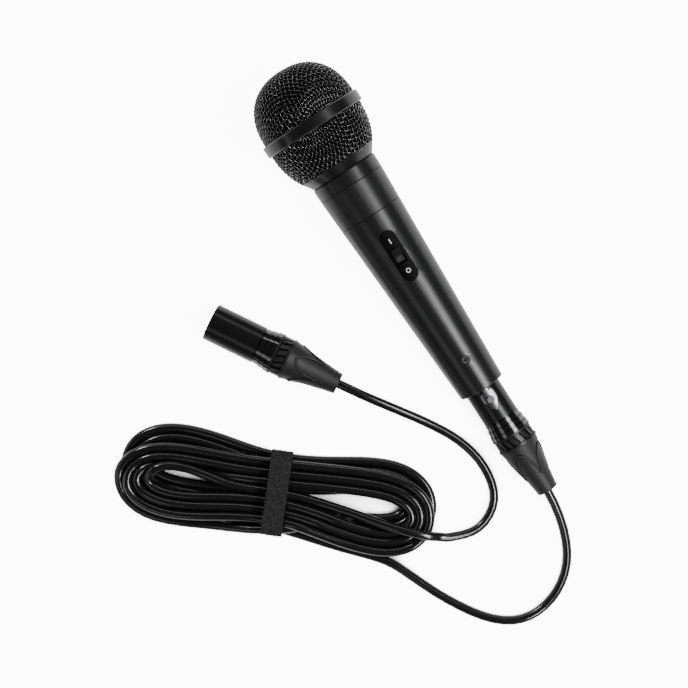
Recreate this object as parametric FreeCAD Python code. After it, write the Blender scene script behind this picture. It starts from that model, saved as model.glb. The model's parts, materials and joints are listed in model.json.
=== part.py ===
import FreeCAD, Part
import math
import os

# A dynamic vocal microphone with its cable, lying on a table. Millimetres, z = 0 is the table.
# +X runs along the microphone, seen from above, towards the head. The origin is on the table,
# under the middle of the microphone. The microphone's axis rises a little towards the head,
# because it rests on the band round its grille and on the bushing of the plug in its tail.
#
# A station is a distance along the microphone's axis from the tip of the head. Its pieces are
# built about the X axis with x = -station, and are then laid on the table together.
# A plug is built about the X axis too: x = 0 is the front of its shell and +X is where it mates.

V = FreeCAD.Vector

# Head
HEAD_RADIUS = 25.9            # grille at its widest
DOME_DEPTH = 27.5             # from the tip to the band
DOME_POWER = 2.3              # power of the dome's superellipse: 2 would be an ellipse
GRILLE_WALL = 1.0
LINER_WALL = 2.4              # foam inside the grille
BAND_WIDTH = 5.9
BAND_STAND = 1.35             # how far the band stands out from the grille
BAND_RADIUS = HEAD_RADIUS + BAND_STAND
BAND_EDGE = 0.5               # bevel of the band's edges
BOWL_LENGTH = 19.6            # lower grille
BOWL_BULGE = 1.6              # how far its curve stands out from its chord
COLLAR_TOP_RADIUS = 20.6
COLLAR_END_RADIUS = 17.3
COLLAR_LENGTH = 5.2
GASKET_THICKNESS = 0.3
FACE_GAP = 0.05               # clearance on each side of the gasket
THREAD_RADIUS = COLLAR_END_RADIUS - 1.2     # thread that the head screws onto
THREAD_LENGTH = 4.4
THREAD_CLEARANCE = 0.05

# Handle
NECK_LENGTH = 7.0
NECK_RADIUS = 17.6
RING_LENGTH = 17.6            # blank ring between neck and grip
RING_START_RADIUS = NECK_RADIUS - 0.1
GRIP_START_RADIUS = 16.7
GRIP_END_RADIUS = 12.0
GRIP_LENGTH = 102.1
HANDLE_WALL = 1.7
SPIGOT_RADIUS = GRIP_START_RADIUS - HANDLE_WALL     # tubes inside the blank ring
SPIGOT_BORE = SPIGOT_RADIUS - HANDLE_WALL
NECK_SPIGOT_LENGTH = 4.4
SEAM = 0.25                   # bevel at each seam of the handle

# Capsule
CAPSULE_FRONT = 17.5          # station of its front
CAPSULE_RADIUS = 15.0
CAPSULE_LENGTH = 26.0
CAPSULE_WALL = 1.3
GRID_THICKNESS = 1.6
GRID_HOLE_RADIUS = 1.3
CLOTH_THICKNESS = 0.4
DIAPHRAGM_SPACE = 1.2         # free space in front of and behind the diaphragm's rim
DIAPHRAGM_RADIUS = CAPSULE_RADIUS - 2.6
DIAPHRAGM_WALL = 0.3
DIAPHRAGM_RISE = 2.4
COIL_RADIUS = CAPSULE_RADIUS - 6.3          # middle of the voice coil's winding
COIL_WALL = 0.8
COIL_LENGTH = 5.0
COIL_GAP = 0.4                # on each side of the coil
POLE_THICKNESS = 2.6
MAGNET_LENGTH = 8.0
MAGNET_INSET = 0.5            # the magnet is this much narrower than the pole piece
YOKE_RADIUS = CAPSULE_RADIUS - 2.4
YOKE_FLOOR = 2.4
CHAMBER_RADIUS = YOKE_RADIUS - 2.4
CHAMBER_LENGTH = 14.5
CHAMBER_WALL = 1.0
MOUNT_LENGTH = 12.5           # rubber shock mount
TERMINAL_SPREAD = 3.2
TERMINAL_RADIUS = 0.9
TERMINAL_LENGTH = 2.2

# Switch, on the top of the grip
SWITCH_STATION = 107.0
BEZEL_LENGTH = 28.2
BEZEL_WIDTH = 8.4
BEZEL_PROUD = 0.35
BEZEL_DEPTH = 2.5
WINDOW_LENGTH = 8.2
WINDOW_WIDTH = 5.2
KNOB_LENGTH = 3.9
KNOB_WIDTH = 4.8
KNOB_PROUD = 1.1
KNOB_CLEARANCE = 0.15
KNOB_RIDGES = 4
RIDGE_DEPTH = 0.3
KNOB_TRAVEL = 4.0
STEM_SIZE = 2.2
STEM_CLEARANCE = 0.3
BRACKET_LENGTH = 34.0
BRACKET_WIDTH = 8.8
BRACKET_THICKNESS = 0.9
HOUSING_LENGTH = 15.0
HOUSING_WIDTH = 7.4
HOUSING_DEPTH = 5.0
HOUSING_WALL = 0.9
CONTACT_THICKNESS = 0.4
SWITCH_TERMINALS = 4
SCREW_SPREAD = 22.0           # between the two screws of the switch bracket
SCREW_RADIUS = 0.8
SCREW_HEAD_RADIUS = 1.5
SCREW_HEAD_HEIGHT = 0.9

# Tail socket
SOCKET_RADIUS = 8.3
SOCKET_DEPTH = 14.3           # from the tail to the face that the pins stand on
SOCKET_INSERT_LENGTH = 12.0
PIN_RADIUS = 1.2
PIN_CIRCLE = 3.8
PIN_LENGTH = 12.0
PIN_ANGLES = (30.0, 150.0, 270.0)
TAIL_SCREW_SETBACK = 17.3     # from the tail to the screw that holds the socket
TAIL_SCREW_RADIUS = 2.0
TAIL_SCREW_HEAD = 1.1
TAIL_SCREW_RECESS = 0.45      # how far its head lies below the handle's surface
TAIL_SCREW_SHANK = 1.0
CROSS_LENGTH = 2.6
CROSS_WIDTH = 0.55

# Plugs
PLUG_GAP = 0.3                # between the handle's tail and the plug's shell
MIC_SHELL_LENGTH = 17.5
MIC_SHELL_WALL = 1.05
INSERT_RADIUS = SOCKET_RADIUS - 0.2
MIC_SHELL_RADIUS = INSERT_RADIUS + MIC_SHELL_WALL
NOSE_CLEARANCE = 0.2          # plug's nose in the socket
NOSE_END_GAP = 1.0            # nose to the socket's face
CONTACT_CLEARANCE = 0.05      # a pin in its contact
CONTACT_WALL = 0.6
FAR_SHELL_LENGTH = 26.9
FAR_BORE = INSERT_RADIUS + 0.1
FAR_WALL = 1.3
FAR_SHELL_RADIUS = FAR_BORE + FAR_WALL
FAR_MOUTH_DEPTH = 16.0
FAR_PIN_SETBACK = 2.0
INSERT_TAIL = 12.0            # length of the plug's insert inside its shell
REAR_LENGTH = 9.0             # stepped ring behind the shell
REAR_STEPS = (MIC_SHELL_RADIUS + 0.2, MIC_SHELL_RADIUS + 0.75, MIC_SHELL_RADIUS + 1.3)
REAR_GROOVE_WIDTH = 0.75
REAR_GROOVE_DEPTH = 0.45
REAR_SPIGOT = 4.0
BUSHING_LENGTH = 7.2
BUSHING_RADIUS = MIC_SHELL_RADIUS + 1.45
BUSHING_LIP = 0.9
BUSHING_WAIST = BUSHING_RADIUS - 0.5
BUSHING_SLOTS = 18
BUSHING_SLOT_WIDTH = 1.1
BOOT_LENGTH = 27.8
BOOT_START_RADIUS = BUSHING_RADIUS - 0.2
BOOT_MIDDLE_RADIUS = 7.55
BOOT_END_RADIUS = 5.4
CHUCK_RADIUS = 5.0
CHUCK_REACH = 9.0             # how far the cable clamp goes into the boot
CHUCK_START = 3.5             # how far it starts inside the shell
LEAD_RADIUS = 0.5

# Latch on the microphone's plug
LATCH_START = 1.6             # from the shell's front
LATCH_LENGTH = 10.7
LATCH_WIDTH = 7.4
LATCH_TIP = 1.6
LATCH_WALL = 1.0
LATCH_PROUD = 0.3
LATCH_BUTTON_RADIUS = 1.8
LATCH_BUTTON_HEIGHT = 0.5
LATCH_BUTTON_SETBACK = 4.6
LATCH_CLEARANCE = 0.2
LATCH_PRESS_DEPTH = 1.8       # free space under the latch
LATCH_PIN_RADIUS = 0.5
LATCH_PIN_LENGTH = 5.0
LATCH_PIN_SETBACK = 2.2       # from the latch's back end
LATCH_PIN_DROP = 0.25         # below the latch plate's underside
LATCH_KNUCKLE_WALL = 0.45
TONGUE_WIDTH = 3.0
TONGUE_REACH = 2.4            # how far it reaches into the handle's tail
KEYWAY_CLEARANCE = 0.4

# Cable. The points are those of the cable's centre line as it lies on the table.
CABLE_RADIUS = 2.4
CABLE_IN_BOOT = 10.0          # how far each end of the cable's tube goes into its boot
CABLE_OUT_OF_BOOT = 9.0       # it runs straight for this far behind the boot
ARC_SHARE = 0.45              # share of the shorter run that an arc takes up
LYING = CABLE_RADIUS + 0.05   # height of the centre line where the cable lies on the table
NEAR_ROUTE = [
    V(-187.5, 8.2, LYING + 1.05), V(-200.6, 23.2, LYING + 0.15), V(-204.0, 42.6, LYING),
    V(-195.2, 58.6, LYING), V(-173.0, 72.9, LYING), V(-148.0, 83.2, LYING),
    V(-127.5, 94.6, LYING),
]
FAR_ROUTE = [
    V(-75.5, 43.8, LYING + 6.15), V(-92.0, 32.6, LYING + 2.15), V(-108.6, 23.3, LYING + 0.25),
    V(-126.6, 19.5, LYING), V(-144.6, 23.6, LYING), V(-152.9, 39.3, LYING + 0.55),
    V(-147.0, 55.0, LYING + 3.35), V(-136.0, 67.6, LYING + 6.35),
]
FAR_PLUG_MOUTH = V(8.9, 95.6, 0.0)
FAR_PLUG_HEADING = 31.0       # degrees from +X, seen from above

# Hank: the coiled part of the cable, tied round its middle
HANK_CENTRE = V(-81.0, 114.7, 0.0)
HANK_HEADING = -131.2
HANK_HEIGHT = 6 * CABLE_RADIUS
HANK_EDGE = 3.2
HANK_OUTLINE = [
    (-80.1, 5.0), (-76.5, 17.6), (-64.0, 24.0), (-46.0, 23.7), (-23.0, 20.0), (0.0, 17.0),
    (24.0, 18.0), (50.0, 20.6), (67.0, 18.8), (76.5, 11.5), (79.4, -3.0), (75.5, -15.6),
    (62.0, -21.6), (40.0, -22.4), (18.0, -19.8), (0.0, -18.2), (-34.0, -19.9),
    (-60.0, -19.6), (-74.6, -13.4), (-79.8, -5.0),
]
TIE_WIDTH = 10.5
TIE_THICKNESS = 1.7
TIE_LENGTH = 42.4             # across the hank
TIE_HEIGHT = HANK_HEIGHT + 1.4
TIE_CORNER = 5.0

# Stations
BAND_START = DOME_DEPTH
BAND_END = BAND_START + BAND_WIDTH
BOWL_END = BAND_END + BOWL_LENGTH
COLLAR_END = BOWL_END + COLLAR_LENGTH
NECK_START = COLLAR_END + GASKET_THICKNESS + 2 * FACE_GAP
NECK_END = NECK_START + NECK_LENGTH
RING_END = NECK_END + RING_LENGTH
TAIL = RING_END + GRIP_LENGTH
SOCKET_FACE = TAIL - SOCKET_DEPTH
PLUG_FRONT = TAIL + PLUG_GAP

# How the microphone lies
BUSHING_REAR = PLUG_FRONT + MIC_SHELL_LENGTH + REAR_LENGTH + BUSHING_LENGTH
BAND_FOOT = BAND_END - BAND_EDGE
TILT = math.atan2(BAND_RADIUS - BUSHING_RADIUS, BUSHING_REAR - BAND_FOOT)
DOME_SUPPORT_POWER = DOME_POWER / (DOME_POWER - 1)
DOME_REACH = ((DOME_DEPTH * math.cos(TILT)) ** DOME_SUPPORT_POWER
              + (HEAD_RADIUS * math.sin(TILT)) ** DOME_SUPPORT_POWER) ** (1 / DOME_SUPPORT_POWER)
FRONT_X = DOME_REACH - DOME_DEPTH * math.cos(TILT)
BACK_X = -TAIL * math.cos(TILT) - GRIP_END_RADIUS * math.sin(TILT)
TIP = V(-(FRONT_X + BACK_X) / 2, 0,
        BAND_RADIUS * math.cos(TILT) + BAND_FOOT * math.sin(TILT))
MIC_PLACE = FreeCAD.Placement(TIP, FreeCAD.Rotation(V(0, 1, 0), -math.degrees(TILT)))

# How the far plug lies: on its shell's rim and on its bushing
FAR_BUSHING_START = FAR_SHELL_LENGTH + REAR_LENGTH
FAR_TILT = math.atan2(BUSHING_RADIUS - FAR_SHELL_RADIUS, FAR_BUSHING_START)
FAR_TURN = FreeCAD.Rotation(V(0, 0, 1), FAR_PLUG_HEADING)
FAR_LEAN = FreeCAD.Rotation(V(0, 1, 0), math.degrees(FAR_TILT))
FAR_HEIGHT = V(0, 0, FAR_SHELL_RADIUS * math.cos(FAR_TILT))
FAR_PLACE = FreeCAD.Placement(FAR_PLUG_MOUTH + FAR_HEIGHT, FAR_TURN.multiply(FAR_LEAN))
HANK_PLACE = FreeCAD.Placement(HANK_CENTRE, FreeCAD.Rotation(V(0, 0, 1), HANK_HEADING))

nodes = {}


# ---------------------------------------------------------------- helpers

def turned(points):
    """A solid turned about the axis from a closed outline of (station, radius) points."""
    outline = [V(-station, 0, radius) for station, radius in points]
    face = Part.Face(Part.makePolygon(outline + outline[:1]))
    return face.revolve(V(0, 0, 0), V(1, 0, 0), 360)


def tube(start, end, outer, inner=0.0):
    """A round rod or tube between two stations."""
    rod = Part.makeCylinder(outer, end - start, V(-start, 0, 0), V(-1, 0, 0))
    if inner:
        rod = rod.cut(Part.makeCylinder(inner, end - start, V(-start, 0, 0), V(-1, 0, 0)))
    return rod


def block(low, high):
    """A box between two corners."""
    return Part.makeBox(high[0] - low[0], high[1] - low[1], high[2] - low[2], V(*low))


def round_block(length, width, corner, low, high):
    """An upright prism, a rectangle with round corners, centred on the Z axis."""
    box = Part.makeBox(length, width, high - low, V(-length / 2, -width / 2, low))
    upright = [edge for edge in box.Edges if abs(edge.tangentAt(edge.FirstParameter).z) > 0.9]
    return box.makeFillet(corner, upright)


def joined(shapes):
    """Several shapes made one."""
    return shapes[0].multiFuse(shapes[1:]).removeSplitter() if len(shapes) > 1 else shapes[0]


def around(circle, angles):
    """Points on a circle about the axis, as (y, z)."""
    return [(circle * math.cos(math.radians(a)), circle * math.sin(math.radians(a)))
            for a in angles]


def rods(start, end, radius, circle, angles):
    """Thin rods along the axis, set on a circle."""
    return [Part.makeCylinder(radius, end - start, V(-start, y, z), V(-1, 0, 0))
            for y, z in around(circle, angles)]


def add(name, shape, place):
    """Keep a sub-part, laid where it belongs on the table."""
    shape = shape.copy()
    shape.Placement = place.multiply(shape.Placement)
    nodes[name] = shape


def route_wire(points):
    """Straight runs joined by tangent arcs, and the arcs' radii."""
    edges, radii, last = [], [], points[0]
    for before, here, after in zip(points, points[1:], points[2:]):
        back, on = (before - here), (after - here)
        trim = ARC_SHARE * min(back.Length, on.Length)
        half_turn = (math.pi - back.getAngle(on)) / 2
        radius = trim / math.tan(half_turn)
        back.normalize()
        on.normalize()
        bisector = (back + on).normalize()
        middle = here + bisector * (radius / math.cos(half_turn) - radius)
        edges.append(Part.LineSegment(last, here + back * trim).toShape())
        edges.append(Part.Arc(here + back * trim, middle, here + on * trim).toShape())
        radii.append(radius)
        last = here + on * trim
    edges.append(Part.LineSegment(last, points[-1]).toShape())
    return Part.Wire(edges), radii


def round_cord(points, radius):
    """A cord of one thickness along a route."""
    wire, radii = route_wire(points)
    heading = (points[1] - points[0]).normalize()
    section = Part.Wire(Part.makeCircle(radius, points[0], heading))
    cord = wire.makePipeShell([section], True, True)
    return cord, radii, wire.Length


# ---------------------------------------------------------------- head

def dome_curve(inset):
    """The dome's outline, from the axis to the band, inset from the outside."""
    radius, depth, steps = HEAD_RADIUS - inset, DOME_DEPTH - inset, 12
    points = []
    for step in range(steps + 1):
        turn = math.pi / 2 * step / steps
        along = depth * max(math.cos(turn), 0) ** (2 / DOME_POWER)
        points.append(V(along - DOME_DEPTH, 0, radius * math.sin(turn) ** (2 / DOME_POWER)))
    curve = Part.BSplineCurve()
    curve.interpolate(Points=points, InitialTangent=V(0, 0, 1), FinalTangent=V(-1, 0, 0))
    return curve.toShape(), points[0], points[-1]


def dome_shell(outer_inset, inner_inset):
    """A layer of the dome between two insets."""
    outer, outer_tip, outer_end = dome_curve(outer_inset)
    inner, inner_tip, inner_end = dome_curve(inner_inset)
    rim = Part.LineSegment(outer_end, inner_end).toShape()
    axis = Part.LineSegment(inner_tip, outer_tip).toShape()
    face = Part.Face(Part.Wire(Part.__sortEdges__([outer, rim, inner, axis])))
    return face.revolve(V(0, 0, 0), V(1, 0, 0), 360)


def bowl_curve(inset):
    """The lower grille's outline, inset from the outside."""
    start = V(-BAND_END, 0, HEAD_RADIUS - inset)
    end = V(-BOWL_END, 0, COLLAR_TOP_RADIUS - inset)
    chord = (end - start).normalize()
    middle = (start + end) * 0.5 + V(chord.z, 0, -chord.x) * BOWL_BULGE
    return Part.Arc(start, middle, end).toShape(), start, end


def bowl_shell(outer_inset, inner_inset):
    """A layer of the lower grille between two insets."""
    outer, outer_start, outer_end = bowl_curve(outer_inset)
    inner, inner_start, inner_end = bowl_curve(inner_inset)
    front = Part.LineSegment(outer_start, inner_start).toShape()
    back = Part.LineSegment(outer_end, inner_end).toShape()
    face = Part.Face(Part.Wire(Part.__sortEdges__([outer, back, inner, front])))
    return face.revolve(V(0, 0, 0), V(1, 0, 0), 360)


def grille_band():
    bore = HEAD_RADIUS - GRILLE_WALL - LINER_WALL
    return turned([
        (BAND_START, bore), (BAND_START, BAND_RADIUS - BAND_EDGE),
        (BAND_START + BAND_EDGE, BAND_RADIUS), (BAND_END - BAND_EDGE, BAND_RADIUS),
        (BAND_END, BAND_RADIUS - BAND_EDGE), (BAND_END, bore),
    ])


def collar_ring():
    bore = THREAD_RADIUS + THREAD_CLEARANCE
    return turned([
        (BOWL_END, bore), (BOWL_END, COLLAR_TOP_RADIUS),
        (COLLAR_END - SEAM, COLLAR_END_RADIUS), (COLLAR_END, COLLAR_END_RADIUS - SEAM),
        (COLLAR_END, bore),
    ])


def build_head():
    liner_inset = GRILLE_WALL + LINER_WALL
    add("upper_grille", dome_shell(0, GRILLE_WALL), MIC_PLACE)
    add("upper_foam_liner", dome_shell(GRILLE_WALL, liner_inset), MIC_PLACE)
    add("grille_band", grille_band(), MIC_PLACE)
    add("lower_grille", bowl_shell(0, GRILLE_WALL), MIC_PLACE)
    add("lower_foam_liner", bowl_shell(GRILLE_WALL, liner_inset), MIC_PLACE)
    add("collar_ring", collar_ring(), MIC_PLACE)
    gasket_start = COLLAR_END + FACE_GAP
    gasket_bore = THREAD_RADIUS + THREAD_CLEARANCE
    gasket = tube(gasket_start, gasket_start + GASKET_THICKNESS, COLLAR_END_RADIUS - SEAM,
                  gasket_bore)
    add("head_gasket", gasket, MIC_PLACE)


# ---------------------------------------------------------------- capsule

CLOTH_START = CAPSULE_FRONT + GRID_THICKNESS
RIM = CLOTH_START + CLOTH_THICKNESS + DIAPHRAGM_SPACE + DIAPHRAGM_RISE
POLE_START = RIM + DIAPHRAGM_WALL + DIAPHRAGM_SPACE
MAGNET_START = POLE_START + POLE_THICKNESS
YOKE_END = MAGNET_START + MAGNET_LENGTH + YOKE_FLOOR
CAPSULE_END = CAPSULE_FRONT + CAPSULE_LENGTH
CHAMBER_END = CAPSULE_END + CHAMBER_LENGTH
POLE_RADIUS = COIL_RADIUS - COIL_WALL / 2 - COIL_GAP
YOKE_BORE = COIL_RADIUS + COIL_WALL / 2 + COIL_GAP


def capsule_housing():
    bore = CAPSULE_RADIUS - CAPSULE_WALL
    return turned([
        (CLOTH_START, bore), (CLOTH_START, CAPSULE_RADIUS), (CAPSULE_END, CAPSULE_RADIUS),
        (CAPSULE_END, 0), (YOKE_END, 0), (YOKE_END, YOKE_RADIUS), (POLE_START, YOKE_RADIUS),
        (POLE_START, bore),
    ])


def capsule_front_grid():
    grid = tube(CAPSULE_FRONT, CLOTH_START, CAPSULE_RADIUS)
    holes = rods(CAPSULE_FRONT, CLOTH_START, GRID_HOLE_RADIUS, 0, (0,))
    for circle, count in ((CAPSULE_RADIUS * 0.3, 6), (CAPSULE_RADIUS * 0.6, 12)):
        angles = [360.0 * k / count for k in range(count)]
        holes += rods(CAPSULE_FRONT, CLOTH_START, GRID_HOLE_RADIUS, circle, angles)
    return grid.cut(Part.makeCompound(holes))


def diaphragm():
    """A thin dome on a flat rim, coil side flat at the rim."""
    outer = COIL_RADIUS + COIL_WALL / 2
    crown = (outer ** 2 + DIAPHRAGM_RISE ** 2) / (2 * DIAPHRAGM_RISE)
    ball = Part.makeSphere(crown, V(-(RIM - DIAPHRAGM_RISE + crown), 0, 0))
    hollow = Part.makeSphere(crown - DIAPHRAGM_WALL, V(-(RIM - DIAPHRAGM_RISE + crown), 0, 0))
    dome = ball.cut(hollow).common(tube(RIM - DIAPHRAGM_RISE, RIM, outer))
    rim = tube(RIM, RIM + DIAPHRAGM_WALL, DIAPHRAGM_RADIUS, COIL_RADIUS - COIL_WALL / 2)
    return dome.fuse(rim)


def shock_mount():
    start = NECK_START - THREAD_LENGTH
    end = start + MOUNT_LENGTH
    lip = 1.2
    return turned([
        (CAPSULE_END, CHAMBER_RADIUS), (CAPSULE_END, CAPSULE_RADIUS), (start, CAPSULE_RADIUS),
        (start, SPIGOT_BORE), (end, SPIGOT_BORE), (end, CHAMBER_RADIUS + lip),
        (start + lip, CHAMBER_RADIUS + lip), (start, CHAMBER_RADIUS),
    ])


def build_capsule():
    coil_inner = COIL_RADIUS - COIL_WALL / 2
    coil_start = RIM + DIAPHRAGM_WALL
    add("capsule_front_grid", capsule_front_grid(), MIC_PLACE)
    bore = CAPSULE_RADIUS - CAPSULE_WALL
    add("acoustic_cloth", tube(CLOTH_START, CLOTH_START + CLOTH_THICKNESS, bore), MIC_PLACE)
    add("capsule_housing", capsule_housing(), MIC_PLACE)
    add("diaphragm", diaphragm(), MIC_PLACE)
    coil = tube(coil_start, coil_start + COIL_LENGTH, coil_inner + COIL_WALL, coil_inner)
    add("voice_coil", coil, MIC_PLACE)
    add("pole_piece", tube(POLE_START, MAGNET_START, POLE_RADIUS), MIC_PLACE)
    magnet_end = MAGNET_START + MAGNET_LENGTH
    add("magnet", tube(MAGNET_START, magnet_end, POLE_RADIUS - MAGNET_INSET), MIC_PLACE)
    yoke = tube(POLE_START, YOKE_END, YOKE_RADIUS).cut(tube(POLE_START, magnet_end, YOKE_BORE))
    add("yoke_cup", yoke, MIC_PLACE)
    chamber = tube(CAPSULE_END, CHAMBER_END, CHAMBER_RADIUS)
    chamber = chamber.cut(tube(CAPSULE_END, CHAMBER_END - CHAMBER_WALL,
                               CHAMBER_RADIUS - CHAMBER_WALL))
    add("rear_chamber", chamber, MIC_PLACE)
    add("shock_mount", shock_mount(), MIC_PLACE)
    lugs = rods(CHAMBER_END, CHAMBER_END + TERMINAL_LENGTH, TERMINAL_RADIUS,
                TERMINAL_SPREAD, (0, 180))
    add("capsule_terminals", Part.makeCompound(lugs), MIC_PLACE)


# ---------------------------------------------------------------- handle

def grip_radius(station):
    """The grip's outside radius at a station."""
    share = (station - RING_END) / GRIP_LENGTH
    return GRIP_START_RADIUS + share * (GRIP_END_RADIUS - GRIP_START_RADIUS)


GRIP_SLOPE = math.atan2(GRIP_START_RADIUS - GRIP_END_RADIUS, GRIP_LENGTH)
SWITCH_PLACE = FreeCAD.Placement(
    V(-SWITCH_STATION, 0, grip_radius(SWITCH_STATION)),
    FreeCAD.Rotation(V(0, 1, 0), -math.degrees(GRIP_SLOPE)))
INSERT_START = SOCKET_FACE - SOCKET_INSERT_LENGTH
CAVITY_END = INSERT_START - HANDLE_WALL
TAIL_SCREW_STATION = TAIL - TAIL_SCREW_SETBACK
TAIL_SCREW_TOP = grip_radius(TAIL_SCREW_STATION) - TAIL_SCREW_RECESS


def neck_ring():
    front = NECK_START - THREAD_LENGTH
    return turned([
        (front, SPIGOT_BORE), (front, THREAD_RADIUS - SEAM), (front + SEAM, THREAD_RADIUS),
        (NECK_START, THREAD_RADIUS), (NECK_START, NECK_RADIUS - SEAM),
        (NECK_START + SEAM, NECK_RADIUS), (NECK_END - SEAM, RING_START_RADIUS),
        (NECK_END, RING_START_RADIUS - SEAM), (NECK_END, SPIGOT_RADIUS),
        (NECK_END + NECK_SPIGOT_LENGTH, SPIGOT_RADIUS),
        (NECK_END + NECK_SPIGOT_LENGTH, SPIGOT_BORE),
    ])


def name_ring():
    return turned([
        (NECK_END, SPIGOT_RADIUS), (NECK_END, RING_START_RADIUS - SEAM),
        (NECK_END + SEAM, RING_START_RADIUS), (RING_END - SEAM, GRIP_START_RADIUS),
        (RING_END, GRIP_START_RADIUS - SEAM), (RING_END, SPIGOT_RADIUS),
    ])


def plain_handle():
    """The grip before its openings: a tapered tube with a spigot in front and a thick tail."""
    spigot_start = NECK_END + NECK_SPIGOT_LENGTH
    cavity_start = RING_END + HANDLE_WALL
    return turned([
        (spigot_start, SPIGOT_BORE), (spigot_start, SPIGOT_RADIUS), (RING_END, SPIGOT_RADIUS),
        (RING_END, GRIP_START_RADIUS - SEAM), (RING_END + SEAM, GRIP_START_RADIUS),
        (TAIL - SEAM, GRIP_END_RADIUS), (TAIL, GRIP_END_RADIUS - SEAM), (TAIL, SOCKET_RADIUS),
        (INSERT_START, SOCKET_RADIUS), (INSERT_START, SOCKET_RADIUS - HANDLE_WALL),
        (CAVITY_END, SOCKET_RADIUS - HANDLE_WALL),
        (CAVITY_END, grip_radius(CAVITY_END) - HANDLE_WALL),
        (cavity_start, grip_radius(cavity_start) - HANDLE_WALL), (cavity_start, SPIGOT_BORE),
    ])


def bezel_prism(low, high):
    prism = round_block(BEZEL_LENGTH, BEZEL_WIDTH, BEZEL_WIDTH / 2 - 0.01, low, high)
    prism.Placement = SWITCH_PLACE
    return prism


def in_switch(shape):
    """Move a shape from the switch's own frame onto the grip."""
    shape.Placement = SWITCH_PLACE.multiply(shape.Placement)
    return shape


def tail_screw():
    head = Part.makeCylinder(TAIL_SCREW_RADIUS, TAIL_SCREW_HEAD,
                             V(-TAIL_SCREW_STATION, 0, TAIL_SCREW_TOP - TAIL_SCREW_HEAD))
    shank_low = SOCKET_RADIUS - 2 * TAIL_SCREW_SHANK
    shank = Part.makeCylinder(TAIL_SCREW_SHANK, TAIL_SCREW_TOP - TAIL_SCREW_HEAD - shank_low,
                              V(-TAIL_SCREW_STATION, 0, shank_low))
    return head.fuse(shank)


def screw_cross():
    """The cross recess in the tail screw's head."""
    depth = TAIL_SCREW_HEAD / 2
    slots = []
    for length, width in ((CROSS_LENGTH, CROSS_WIDTH), (CROSS_WIDTH, CROSS_LENGTH)):
        corner = V(-TAIL_SCREW_STATION - length / 2, -width / 2, TAIL_SCREW_TOP - depth)
        slots.append(Part.makeBox(length, width, depth * 2, corner))
    return slots[0].fuse(slots[1])


def screw_pocket():
    """The round pocket in the handle that the screw's head lies in."""
    floor = TAIL_SCREW_TOP - TAIL_SCREW_HEAD
    return Part.makeCylinder(TAIL_SCREW_RADIUS + CROSS_WIDTH / 2, GRIP_END_RADIUS,
                             V(-TAIL_SCREW_STATION, 0, floor))


def keyway():
    """The notch in the tail's bore for the latch's tongue."""
    width = TONGUE_WIDTH + 2 * KEYWAY_CLEARANCE
    length = TONGUE_REACH + KEYWAY_CLEARANCE
    top = latch_inner_radius() + LATCH_WALL + KEYWAY_CLEARANCE
    return block((-TAIL, -width / 2, 0), (-TAIL + length, width / 2, top))


def build_handle():
    add("neck_ring", neck_ring(), MIC_PLACE)
    add("name_ring", name_ring(), MIC_PLACE)
    screw = tail_screw()
    handle = plain_handle().cut(bezel_prism(-BEZEL_WIDTH, BEZEL_WIDTH))
    handle = handle.cut(screw_pocket()).cut(screw).cut(keyway())
    add("handle_shell", handle, MIC_PLACE)
    add("tail_screw", screw.cut(screw_cross()), MIC_PLACE)
    pins = rods(INSERT_START, SOCKET_FACE + PIN_LENGTH, PIN_RADIUS, PIN_CIRCLE, PIN_ANGLES)
    insert = tube(INSERT_START, SOCKET_FACE, SOCKET_RADIUS)
    insert = insert.cut(screw).cut(Part.makeCompound(pins))
    add("socket_insert", insert, MIC_PLACE)
    add("socket_pins", Part.makeCompound(pins), MIC_PLACE)


# ---------------------------------------------------------------- switch

KNOB_FRONT = WINDOW_LENGTH / 2 - KNOB_CLEARANCE
BRACKET_TOP = -BEZEL_DEPTH
HOUSING_TOP = BRACKET_TOP - BRACKET_THICKNESS
HOUSING_BOTTOM = HOUSING_TOP - HOUSING_DEPTH
STEM_MIDDLE = KNOB_FRONT - KNOB_LENGTH / 2
STEM_LOW = HOUSING_TOP - HOUSING_DEPTH / 2


def stem_slot(low, high):
    """The room that the knob's stem slides in."""
    half = STEM_SIZE / 2 + STEM_CLEARANCE
    back = STEM_MIDDLE - KNOB_TRAVEL - half
    return block((back, -half, low), (STEM_MIDDLE + half, half, high))


def switch_screw(x):
    shank_top = BRACKET_TOP + BEZEL_DEPTH / 2
    low = HOUSING_TOP - SCREW_HEAD_HEIGHT
    head = Part.makeCylinder(SCREW_HEAD_RADIUS, SCREW_HEAD_HEIGHT, V(x, 0, low))
    return head.fuse(Part.makeCylinder(SCREW_RADIUS, shank_top - HOUSING_TOP, V(x, 0, HOUSING_TOP)))


def switch_knob():
    half = KNOB_WIDTH / 2
    low = BRACKET_TOP + KNOB_CLEARANCE
    cap = block((KNOB_FRONT - KNOB_LENGTH, -half, low), (KNOB_FRONT, half, KNOB_PROUD))
    pitch = KNOB_LENGTH / KNOB_RIDGES
    for k in range(1, KNOB_RIDGES):
        x = KNOB_FRONT - k * pitch
        groove = block((x - pitch / 4, -half, KNOB_PROUD - RIDGE_DEPTH),
                       (x + pitch / 4, half, KNOB_PROUD))
        cap = cap.cut(groove)
    size = STEM_SIZE / 2
    stem = block((STEM_MIDDLE - size, -size, STEM_LOW), (STEM_MIDDLE + size, size, low))
    return cap.fuse(stem)


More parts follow.
